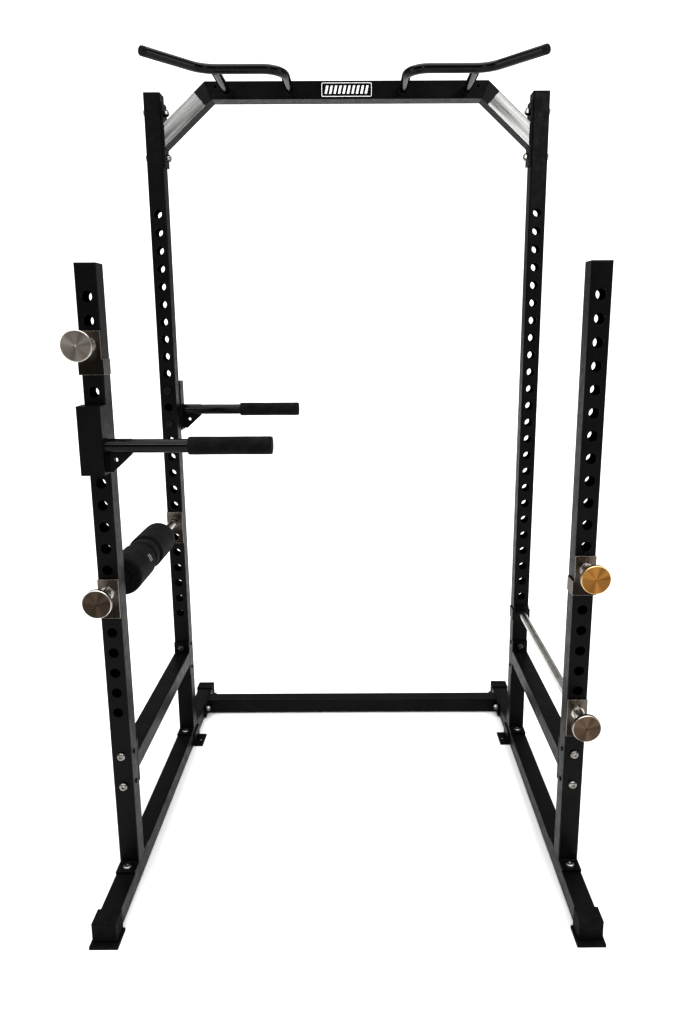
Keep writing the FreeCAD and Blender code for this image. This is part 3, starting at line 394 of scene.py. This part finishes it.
def turned_disc(name, dark, bright, rim):
    """Turned face: circular tool marks, a faint sunburst of painted sheen, a bevel painted bright as a
    highlight and a darker side wall.
    """
    s = Surface(name, Anisotropic=0.6, Metallic=1.0)
    spot = s.add("ShaderNodeVectorMath", operation="SUBTRACT")
    s.link(s.coordinates("Generated"), spot.inputs[0])
    spot.inputs[1].default_value = (0.5, 0.5, 0.5)
    flat = s.add("ShaderNodeVectorMath", operation="MULTIPLY")
    s.link(spot.outputs["Vector"], flat.inputs[0])
    flat.inputs[1].default_value = (1.0, 0.0, 1.0)
    length = s.add("ShaderNodeVectorMath", operation="LENGTH")
    s.link(flat.outputs["Vector"], length.inputs[0])
    radius = length.outputs["Value"]
    ring_at = s.add("ShaderNodeCombineXYZ")
    s.link(radius, ring_at.inputs["X"])
    rings = s.noise(ring_at.outputs["Vector"], 150.0, 4.0, 0.7)
    # Sunburst of painted sheen: some sectors round the disc are painted darker.
    ray = s.add("ShaderNodeVectorMath", operation="NORMALIZE")
    s.link(flat.outputs["Vector"], ray.inputs[0])
    painted_sheen_rays = s.noise(ray.outputs["Vector"], 1.3, 1.0, 0.4)
    base = s.blend(s.spread(rings, 0.0, 1.0, 0.3, 0.7), dark, bright)
    base = s.blend(s.spread(painted_sheen_rays, 0.0, 0.6, 0.40, 0.64), base, tuple(0.45 * channel for channel in dark))
    across = s.math("ABSOLUTE", s.parts(s.coordinates("Normal"))["Y"])
    front = s.math("GREATER_THAN", across, 0.4)
    # Painted highlight on the bevel round the face.
    bevel = s.math("MULTIPLY", s.math("GREATER_THAN", radius, BEVEL_FROM), front)
    wall = s.math("SUBTRACT", 1.0, front)
    base = s.blend(wall, base, tuple(0.5 * channel for channel in dark))
    s.colour(s.blend(bevel, base, rim))
    s.roughness(s.spread(rings, 0.25, 0.38))
    tangent = s.add("ShaderNodeTangent", direction_type="RADIAL", axis="Y")
    s.link(tangent.outputs["Tangent"], s.shader.inputs["Tangent"])
    s.relief(rings, 0.00003, edge=0.0009)
    return s.material


def foam():
    """Closed-cell foam skin: matt, pitted and a little uneven."""
    s = Surface("foam", Specular_IOR_Level=0.12, Sheen_Weight=0.03, Sheen_Roughness=0.5)
    at = s.place()
    s.mottle(at, 34.0, (0.0065, 0.0065, 0.0068), (0.0145, 0.0145, 0.015), detail=3.0)
    s.roughness(s.spread(s.noise(at, 70.0), 0.66, 0.84))
    pores = s.math("MULTIPLY", s.cells(at, 650.0), 0.8)
    s.relief(s.math("ADD", pores, s.noise(at, 210.0, 4.0)), 0.00022, edge=0.0)
    return s.material


def printed_grey():
    """Small pale print on the foam."""
    s = Surface("grey_print", Specular_IOR_Level=0.3)
    at = s.place()
    s.mottle(at, 700.0, (0.20, 0.20, 0.20), (0.34, 0.34, 0.34))
    s.roughness(s.spread(s.noise(at, 300.0), 0.55, 0.70))
    s.relief(s.noise(at, 900.0), 0.00003, edge=0.0)
    return s.material


# Each disc's dark and bright tool marks, and its bevel, painted bright as a highlight.
DISC_TONES = {
    "spun_disc": ((0.235, 0.210, 0.185), (0.47, 0.425, 0.385), (0.42, 0.395, 0.37)),
    "bronze_disc": ((0.084, 0.060, 0.044), (0.170, 0.128, 0.096), (0.42, 0.39, 0.36)),
    "gold_disc": ((0.215, 0.108, 0.032), (0.45, 0.250, 0.085), (0.56, 0.42, 0.24)),
    "brown_disc": ((0.050, 0.038, 0.029), (0.115, 0.090, 0.070), (0.50, 0.48, 0.46)),
}
FINISHES = {
    "powder_coat": powder_coat(),
    "gloss_coat": gloss_coat(),
    "rubber_foot": rubber_foot(),
    "black_plastic": black_plastic(),
    "label": label_plate_finish(),
    "zinc_fastener": zinc_fastener(),
    "brushed_plate": brushed_plate(),
    "coated_saddle": coated_saddle(),
    "chrome_bar": chrome_bar(),
    "dark_pin": dark_pin(),
    **{name: turned_disc(name, *tones) for name, tones in DISC_TONES.items()},
    "foam": foam(),
}
# Nodes that look different from the rest of their slot: the rivets are painted over.
OWN_LOOKS = {
    "left_beam_diagonal": bare_diagonal("bare_diagonal_left", -1),
    "right_beam_diagonal": bare_diagonal("bare_diagonal_right", 1),
    "side_rivets": FINISHES["powder_coat"],
}


def coat(item, material):
    item.data.materials.clear()
    item.data.materials.append(material)


def finish_nodes():
    for node, slot in SLOT_OF.items():
        coat(NODES[node], OWN_LOOKS.get(node) or FINISHES[slot])


# ---------------------------------------------------------------- mesh helpers

def piece(name, mesh, body, material):
    mesh.validate()
    item = bpy.data.objects.new(name, mesh)
    bpy.context.scene.collection.objects.link(item)
    coat(item, material)
    for face in mesh.polygons:
        face.use_smooth = True
    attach(item, body)
    return item


def mesh_from(name, points, faces):
    mesh = bpy.data.meshes.new(name)
    mesh.from_pydata([tuple(point) for point in points], [], faces)
    tool = bmesh.new()
    tool.from_mesh(mesh)
    bmesh.ops.recalc_face_normals(tool, faces=tool.faces)
    tool.to_mesh(mesh)
    tool.free()
    mesh.update()
    return mesh


def turned(profile, centre, axis, count, wobble=0.0):
    """Revolve (radius, distance) points about an axis through `centre`, closed into a ring solid."""
    points, faces = [], []
    size = len(profile)
    for step in range(count):
        angle = math.tau * step / count
        turn_x, turn_y = math.cos(angle), math.sin(angle)
        for radius, distance in profile:
            swell = wobble * smooth_noise(Vector((distance * 30, turn_x * 1.7, turn_y * 1.7)))
            across = (radius + swell) * turn_x
            up = (radius + swell) * turn_y
            offset = Vector((distance, across, up)) if axis == "X" else Vector((across, distance, up))
            points.append(centre + offset)
    for step in range(count):
        here, there = step * size, (step + 1) % count * size
        for index in range(size):
            following = (index + 1) % size
            faces.append((here + index, there + index, there + following, here + following))
    return points, faces


def rounded(corners, radius, steps=5):
    """Round each corner of a closed profile; `radius` may be a list, one per corner."""
    result = []
    count = len(corners)
    for index, corner in enumerate(corners):
        here = Vector(corner)
        size = radius[index] if isinstance(radius, list) else radius
        if size <= 0:
            result.append(tuple(here))
            continue
        before = Vector(corners[index - 1]) - here
        after = Vector(corners[(index + 1) % count]) - here
        reach = min(size, before.length * 0.45, after.length * 0.45)
        first = here + before.normalized() * reach
        last = here + after.normalized() * reach
        for step in range(steps + 1):
            share = step / steps
            near, between, far = (1 - share) ** 2, 2 * share * (1 - share), share ** 2
            result.append(tuple(first * near + here * between + last * far))
    return result


def divided(profile, longest):
    """Split a closed profile's long runs, so that the surface can swell between them."""
    result = []
    for index, point in enumerate(profile):
        following = profile[(index + 1) % len(profile)]
        here, there = Vector(point), Vector(following)
        parts = max(1, math.ceil((there - here).length / longest))
        result.extend(tuple(here.lerp(there, part / parts)) for part in range(parts))
    return result


# ---------------------------------------------------------------- weld beads

BEAD_STEP = 1.3 * MM
BEAD_SIDES = 8
RIPPLE_PITCH = 3.4 * MM
# Shares of a bead's radius.
RIPPLE_DEPTH = 0.13
UNEVENNESS = 0.16

# How far a bead stops short of the end of its edge.
BEAD_INSET = 2 * MM
# Half the length of the bead across the top of the rear floor tube.
TOP_BEAD_REACH = 22 * MM
# How far the mitre beads lie below the beam's top.
FLUSH_DROP = 1.4 * MM
# Rings round a handle's root and post, and the saddle where the post meets the handle.
HANDLE_BEAD_RING = 13 * MM
SADDLE_BEAD_RING = 12 * MM

SIDES = {"left": -1, "right": 1}
HALF_TUBE = 25 * MM
FLANGE_THICK = 6 * MM
# Where a handle leaves the beam, and the depth of its long run.
HANDLE_ROOT_X = 0.169
HANDLE_RUN_Y = 0.070


def resampled(points, closed):
    """Even samples along a polyline."""
    line = list(points) + ([points[0]] if closed else [])
    lengths = [(b - a).length for a, b in zip(line, line[1:])]
    total = sum(lengths)
    count = max(4, round(total / BEAD_STEP))
    samples = []
    for index in range(count if closed else count + 1):
        target = total * index / count
        run = 0
        while run < len(lengths) - 1 and target > lengths[run]:
            target -= lengths[run]
            run += 1
        samples.append(line[run].lerp(line[run + 1], min(1.0, target / max(lengths[run], 1e-9))))
    return samples, total


def bead(points, radius, closed, seed):
    """Rippled bead of weld along a path, as points and faces."""
    path, total = resampled(points, closed)
    count = len(path)
    verts, faces = [], []
    for index, spot in enumerate(path):
        ahead = path[(index + 1) % count] if closed or index < count - 1 else spot
        behind = path[index - 1] if closed or index > 0 else spot
        along = (ahead - behind).normalized()
        helper = Vector((0.3, 0.5, 0.81)) if abs(along.z) < 0.8 else Vector((0.8, 0.6, 0.0))
        side = along.cross(helper).normalized()
        up = side.cross(along)
        travelled = total * index / count
        ripple = 1 + RIPPLE_DEPTH * math.sin(math.tau * travelled / RIPPLE_PITCH)
        ripple += UNEVENNESS * smooth_noise(Vector((travelled * 160, seed * 3.7, 0.0)))
        if not closed:
            ripple *= min(1.0, 0.35 + 2.2 * min(index, count - 1 - index) * BEAD_STEP / radius / 3)
        for part in range(BEAD_SIDES):
            angle = math.tau * part / BEAD_SIDES
            verts.append(spot + (side * math.cos(angle) + up * math.sin(angle)) * radius * ripple)
    rings = count if closed else count - 1
    for index in range(rings):
        here, there = index * BEAD_SIDES, (index + 1) % count * BEAD_SIDES
        for part in range(BEAD_SIDES):
            following = (part + 1) % BEAD_SIDES
            faces.append((here + part, there + part, there + following, here + following))
    if not closed:
        faces.append(tuple(range(BEAD_SIDES)))
        faces.append(tuple(range((count - 1) * BEAD_SIDES, count * BEAD_SIDES)))
    return verts, faces


def welds(name, body, runs, radius, slot="powder_coat"):
    """One piece made of several beads; each run is (points, closed)."""
    points, faces = [], []
    for seed, (path, closed) in enumerate(runs):
        verts, sides = bead([Vector(point) for point in path], radius, closed, seed)
        faces.extend(tuple(number + len(points) for number in side) for side in sides)
        points.extend(verts)
    piece(name, mesh_from(name, points, faces), body, FINISHES[slot])


def straight_run(start, end):
    """An open run between two points."""
    return (start, end), False


def ring_run(centre, radius, normal, count=28):
    """A closed run round one of the main axes."""
    path = []
    for step in range(count):
        angle = math.tau * step / count
        a, b = radius * math.cos(angle), radius * math.sin(angle)
        offset = {"X": (0, a, b), "Y": (a, 0, b)}[normal]
        path.append(Vector(centre) + Vector(offset))
    return path, True


def base_welds():
    """Beads round the bolting flanges, under the uprights and along the floor tabs."""
    runs = []
    for side in SIDES:
        low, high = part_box(f"{side}_side_brace")
        middle = (low.z + high.z) / 2
        for y in (low.y + FLANGE_THICK, high.y - FLANGE_THICK):
            for z in (middle - HALF_TUBE, middle + HALF_TUBE):
                runs.append(straight_run((low.x + BEAD_INSET, y, z), (high.x - BEAD_INSET, y, z)))
    low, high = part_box("rear_floor_crossmember")
    middle = (low.y + high.y) / 2
    for x in (low.x + FLANGE_THICK, high.x - FLANGE_THICK):
        for y in (middle - HALF_TUBE, middle + HALF_TUBE):
            runs.append(straight_run((x, y, low.z + BEAD_INSET), (x, y, high.z - BEAD_INSET)))
        runs.append(straight_run((x, middle - TOP_BEAD_REACH, high.z),
                                 (x, middle + TOP_BEAD_REACH, high.z)))
    for end in ("front_left", "front_right", "rear_left", "rear_right"):
        low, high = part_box(f"{end}_upright")
        for y in (low.y, high.y):
            runs.append(straight_run((low.x + BEAD_INSET, y, low.z), (high.x - BEAD_INSET, y, low.z)))
    for side in SIDES:
        low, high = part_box(f"{side}_floor_tab")
        x = low.x if side == "left" else high.x
        runs.append(straight_run((x, low.y, high.z), (x, high.y, high.z)))
    welds("base_welds", "frame", runs, 2.4 * MM)


def beam_welds():
    """Beads at the beam's mitres, nearly flush on its top, and round its end plates."""
    beam_low, beam_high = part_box("pull_up_beam")
    tube = beam_high.z - beam_low.z
    runs = []
    for sign in SIDES.values():
        top_x, top_z = sign * beam_high.x, beam_high.z - FLUSH_DROP
        bottom_x = sign * (beam_high.x - tube * math.tan(BEAM_SLOPE / 2))
        for y in (beam_low.y, beam_high.y):
            runs.append(straight_run((top_x, y, top_z), (bottom_x, y, beam_low.z)))
        for x, z in ((top_x, top_z), (bottom_x, beam_low.z)):
            runs.append(straight_run((x, beam_low.y + BEAD_INSET, z), (x, beam_high.y - BEAD_INSET, z)))
    welds("beam_mitre_welds", "frame", runs, 1.1 * MM)
    runs = []
    for side, sign in SIDES.items():
        low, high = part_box(f"{side}_beam_diagonal")
        x = high.x if sign > 0 else low.x
        z_top = low.z + tube / math.cos(BEAM_SLOPE)
        for z in (low.z, z_top):
            runs.append(straight_run((x, low.y + BEAD_INSET, z), (x, high.y - BEAD_INSET, z)))
        for y in (low.y, high.y):
            runs.append(straight_run((x, y, low.z + BEAD_INSET), (x, y, z_top - BEAD_INSET)))
    welds("beam_plate_welds", "frame", runs, 2.3 * MM)


def handle_welds():
    """Rings where the handles and their posts meet the beam, and saddles where they cross."""
    beam_low, beam_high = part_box("pull_up_beam")
    level = (beam_low.z + beam_high.z) / 2
    runs = []
    for side, sign in SIDES.items():
        runs.append(ring_run((sign * HANDLE_ROOT_X, beam_low.y, level), HANDLE_BEAD_RING, "Y"))
        post_low, post_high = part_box(f"{side}_handle_post")
        x = (post_low.x + post_high.x) / 2
        runs.append(ring_run((x, post_high.y, level), HANDLE_BEAD_RING, "Y"))
        saddle = []
        for step in range(32):
            angle = math.tau * step / 32
            saddle.append(Vector((x + SADDLE_BEAD_RING * math.cos(angle),
                                  HANDLE_RUN_Y + SADDLE_BEAD_RING * abs(math.cos(angle)) + 0.2 * MM,
                                  level + SADDLE_BEAD_RING * math.sin(angle))))
        runs.append((saddle, True))
    welds("handle_welds", "frame", runs, 1.9 * MM, slot="gloss_coat")


def dip_welds(end):
    """A ring round the dip handle's sleeve, and beads along its gusset."""
    low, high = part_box(f"{end}_dip_bar")
    gusset_low, gusset_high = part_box(f"{end}_dip_gusset")
    y, z = (low.y + high.y) / 2, (low.z + high.z) / 2
    runs = [ring_run((low.x, y, z), (high.z - low.z) / 2 + 0.5 * MM, "X")]
    top = gusset_high.z
    for face_y in (gusset_low.y, gusset_high.y):
        runs.append(straight_run((low.x, face_y, gusset_low.z + BEAD_INSET), (low.x, face_y, top)))
        runs.append(straight_run((low.x + 3 * MM, face_y, top), (gusset_high.x - 3 * MM, face_y, top)))
    welds(f"{end}_dip_welds", f"{end}_dip", runs, 2.1 * MM)


# ---------------------------------------------------------------- label

# The plain slanted bars on the label.
LABEL_BARS = 10
BAR_PITCH = 13.2 * MM
BAR_WIDTH, BAR_HEIGHT, BAR_LEAN = 7.4 * MM, 23 * MM, 2.6 * MM


def flat_ring(outer, inner, depth):
    """Solid band between two outlines of equal length, extruded along Y."""
    count = len(outer)
    points, faces = [], []
    for y in depth:
        points.extend(Vector((x, y, z)) for x, z in outer)
        points.extend(Vector((x, y, z)) for x, z in inner)
    for index in range(count):
        following = (index + 1) % count
        for base in (0, 2 * count):
            inside = base + count
            faces.append((base + index, base + following, inside + following, inside + index))
        for start in (0, count):
            back = 2 * count + start
            faces.append((start + index, start + following, back + following, back + index))
    return points, faces


def outline(width, height, corner, centre, lean=0.0):
    """Rounded rectangle in X and Z; `lean` shifts its top to the right and its foot to the left."""
    x, z = centre
    box = [(x - width / 2 - lean, z - height / 2), (x + width / 2 - lean, z - height / 2),
           (x + width / 2 + lean, z + height / 2), (x - width / 2 + lean, z + height / 2)]
    return rounded(box, corner, steps=4)


def make_label():
    """White border line and a plain row of slanted bars, raised as a thin print."""
    low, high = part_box("label_plate")
    centre = ((low.x + high.x) / 2, (low.z + high.z) / 2)
    width, height = high.x - low.x, high.z - low.z
    depth = (low.y - 0.5 * MM, low.y + 0.2 * MM)
    points, faces = flat_ring(outline(width - 6 * MM, height - 6 * MM, 5 * MM, centre),
                              outline(width - 10.4 * MM, height - 10.4 * MM, 3 * MM, centre), depth)
    ink = label_print()
    border = piece("label_border", mesh_from("label_border", points, faces), "frame", ink)
    points, faces = [], []
    for index in range(LABEL_BARS):
        x = centre[0] + (index - (LABEL_BARS - 1) / 2) * BAR_PITCH
        shape = outline(BAR_WIDTH, BAR_HEIGHT, 1.0 * MM, (x, centre[1]), lean=BAR_LEAN)
        count, base = len(shape), len(points)
        for y in depth:
            points.extend(Vector((px, y, pz)) for px, pz in shape)
        faces.append(tuple(base + n for n in range(count)))
        faces.append(tuple(base + count + n for n in range(count)))
        for n in range(count):
            following = (n + 1) % count
            faces.append((base + n, base + following, base + count + following, base + count + n))
    bars_piece = piece("label_bars", mesh_from("label_bars", points, faces), "frame", ink)
    for item in (border, bars_piece):
        for face in item.data.polygons:
            face.use_smooth = False


# ---------------------------------------------------------------- foam pieces

# Radii of the roll: inside, over the pads, over the band and in the grooves beside it.
ROLL_CORE, ROLL_PAD, ROLL_BAND, ROLL_GROOVE = 20.2 * MM, 49.6 * MM, 45.4 * MM, 42.2 * MM

# Two printed dashes on the front pad: first start, pitch and width along the roll, and the
# angles between which they run round it.
MARK_START, MARK_PITCH, MARK_WIDTH = 92 * MM, 11 * MM, 6 * MM
MARK_FROM, MARK_SWEEP = 12, 24
MARK_STEPS = 8


def make_roller():
    """Foam roll on the left bar: two pads with soft shoulders and a stepped band between them."""
    low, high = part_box("roller_foam")
    centre = Vector(((low.x + high.x) / 2, low.y, (low.z + high.z) / 2))
    length = high.y - low.y
    core, pad, band, groove = ROLL_CORE, ROLL_PAD, ROLL_BAND, ROLL_GROOVE
    # Radius and distance from the front end.
    corners = [
        (core, 3 * MM), (pad, 0.4 * MM), (pad, 134 * MM),
        (groove, 137 * MM), (groove, 160 * MM), (band, 162 * MM), (band, 192 * MM),
        (groove, 194 * MM), (groove, 202 * MM), (pad, 205 * MM),
        (pad, length - 0.4 * MM), (core, length - 3 * MM),
    ]
    softness = [size * MM for size in (2, 9, 7, 3, 3, 3, 3, 1.5, 1.5, 6, 9, 2)]
    profile = divided(rounded(corners, softness, 6), 7 * MM)
    points, faces = turned(profile, centre, "Y", 72, wobble=0.25 * MM)
    pads = piece("roller_pads", mesh_from("roller_pads", points, faces), "roller", FINISHES["foam"])
    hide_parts("roller_foam")
    make_marks(centre)


def make_marks(centre):
    """The two dashes, as thin curved strips that stand just out of the foam."""
    points, faces = [], []
    rim = 2 * (MARK_STEPS + 1)
    for index in range(2):
        start = MARK_START + index * MARK_PITCH
        base = len(points)
        for level in (ROLL_PAD + 0.10 * MM, ROLL_PAD - 0.6 * MM):
            for step in range(MARK_STEPS + 1):
                angle = math.radians(MARK_FROM + MARK_SWEEP * step / MARK_STEPS)
                for y in (start, start + MARK_WIDTH):
                    spot = Vector((math.cos(angle) * level, y, math.sin(angle) * level))
                    points.append(centre + spot)
        for step in range(MARK_STEPS):
            a = base + 2 * step
            faces.append((a, a + 1, a + 3, a + 2))
            faces.append((a + rim, a + rim + 1, a + rim + 3, a + rim + 2))
            faces.append((a, a + 2, a + rim + 2, a + rim))
            faces.append((a + 1, a + 3, a + rim + 3, a + rim + 1))
        for a in (base, base + 2 * MARK_STEPS):
            faces.append((a, a + 1, a + rim + 1, a + rim))
    piece("roller_marks", mesh_from("roller_marks", points, faces), "roller", printed_grey())


def make_grips():
    """Foam grips on the dip handles, with rolled ends and a slightly dished tip."""
    for end in ("front", "rear"):
        low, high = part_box(f"{end}_dip_grip")
        bar_low, bar_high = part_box(f"{end}_dip_bar")
        centre = Vector((low.x, (bar_low.y + bar_high.y) / 2, (bar_low.z + bar_high.z) / 2))
        length = high.x - low.x
        shaft, skin = 16.2 * MM, 21.0 * MM
        tip = bar_high.x - low.x + 0.4 * MM
        corners = [
            (shaft, 1.2 * MM), (skin - 0.6 * MM, 0.4 * MM), (skin, 6 * MM),
            (skin - 0.3 * MM, length * 0.5),
            (skin, length - 6 * MM), (skin - 1.0 * MM, length - 0.6 * MM), (3 * MM, length - 1.6 * MM),
            (0.6 * MM, length - 1.8 * MM), (0.6 * MM, tip), (shaft, tip),
        ]
        softness = [size * MM for size in (1, 3, 2, 10, 3, 4, 1, 0, 0, 0)]
        profile = divided(rounded(corners, softness, 5), 6 * MM)
        points, faces = turned(profile, centre, "X", 56, wobble=0.18 * MM)
        grip = piece(f"{end}_dip_foam", mesh_from(f"{end}_dip_foam", points, faces), f"{end}_dip",
                     FINISHES["foam"])
        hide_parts(f"{end}_dip_grip")


# ---------------------------------------------------------------- studio

def make_floor():
    mesh = bpy.data.meshes.new("floor")
    count, radius = 64, 40.0
    angles = [math.tau * n / count for n in range(count)]
    rim = [(radius * math.cos(angle), radius * math.sin(angle), 0.0) for angle in angles]
    mesh.from_pydata(rim, [], [tuple(range(count))])
    floor = bpy.data.objects.new("floor", mesh)
    bpy.context.scene.collection.objects.link(floor)
    s = Surface("floor", Specular_IOR_Level=0.15)
    at = s.place()
    s.mottle(at, 1.5, (0.93, 0.93, 0.93), (0.95, 0.95, 0.95))
    s.roughness(s.spread(s.noise(at, 3.0), 0.75, 0.85))
    coat(floor, s.material)


def make_world():
    """White for the eye; a softer studio for light: bright above and at the sides, dim in front."""
    world = bpy.data.worlds.new("studio")
    bpy.context.scene.world = world
    world.use_nodes = True
    tree = world.node_tree
    tree.nodes.clear()

    def add(kind, **values):
        node = tree.nodes.new(kind)
        for key, value in values.items():
            setattr(node, key, value)
        return node

    def bright(colour, strength):
        node = add("ShaderNodeBackground")
        node.inputs["Strength"].default_value = strength
        if isinstance(colour, tuple):
            node.inputs["Color"].default_value = (*colour, 1.0)
        else:
            tree.links.new(colour, node.inputs["Color"])
        return node

    direction = add("ShaderNodeTexCoord").outputs["Generated"]
    split = add("ShaderNodeSeparateXYZ")
    tree.links.new(direction, split.inputs["Vector"])
    depth = add("ShaderNodeMapRange")
    set_range(depth, -0.6, 0.8, 0.02, 0.38)
    tree.links.new(split.outputs["Y"], depth.inputs["Value"])
    above = add("ShaderNodeMapRange")
    set_range(above, 0.35, 1.0, 0.0, 0.75)
    tree.links.new(split.outputs["Z"], above.inputs["Value"])
    light = add("ShaderNodeMath", operation="MAXIMUM")
    tree.links.new(depth.outputs["Result"], light.inputs[0])
    tree.links.new(above.outputs["Result"], light.inputs[1])
    studio = bright(light.outputs["Value"], 1.0)
    backdrop = bright((1.0, 1.0, 1.0), 1.0)
    path = add("ShaderNodeLightPath")
    mix = add("ShaderNodeMixShader")
    tree.links.new(path.outputs["Is Camera Ray"], mix.inputs["Fac"])
    tree.links.new(studio.outputs["Background"], mix.inputs[1])
    tree.links.new(backdrop.outputs["Background"], mix.inputs[2])
    output = add("ShaderNodeOutputWorld")
    tree.links.new(mix.outputs["Shader"], output.inputs["Surface"])


def softbox(name, at, aim, width, height, power):
    data = bpy.data.lights.new(name, "AREA")
    data.shape = "RECTANGLE"
    data.size, data.size_y = width, height
    data.energy = power
    lamp = bpy.data.objects.new(name, data)
    lamp.location = at
    lamp.rotation_mode = "QUATERNION"
    lamp.rotation_quaternion = (Vector(aim) - Vector(at)).to_track_quat("-Z", "Y")
    bpy.context.scene.collection.objects.link(lamp)


def make_lights():
    data = bpy.data.lights.new("sky_panel", "SUN")
    data.energy = 2.2
    data.angle = math.radians(80)
    lamp = bpy.data.objects.new("sky_panel", data)
    lamp.rotation_euler = (math.radians(8), 0.0, 0.0)
    bpy.context.scene.collection.objects.link(lamp)
    softbox("left_side", (-3.0, -0.6, 2.4), (0.0, 0.0, 1.1), 0.9, 2.6, 12.0)
    softbox("right_side", (3.0, -0.6, 2.4), (0.0, 0.0, 1.1), 0.9, 2.6, 12.0)
    softbox("key", (1.6, -3.2, 3.0), (0.2, 0.0, 1.3), 0.8, 0.8, 22.0)
    softbox("fill", (-1.3, -3.2, 3.0), (0.0, 0.0, 1.3), 0.7, 0.7, 9.0)


# ---------------------------------------------------------------- build

make_camera()
make_floor()
make_world()
make_lights()
finish_nodes()
base_welds()
beam_welds()
handle_welds()
dip_welds("front")
dip_welds("rear")
make_label()
make_roller()
make_grips()
bpy.context.scene.view_settings.view_transform = "Standard"
bpy.context.scene.view_settings.look = "High Contrast"

bpy.context.view_layer.update()
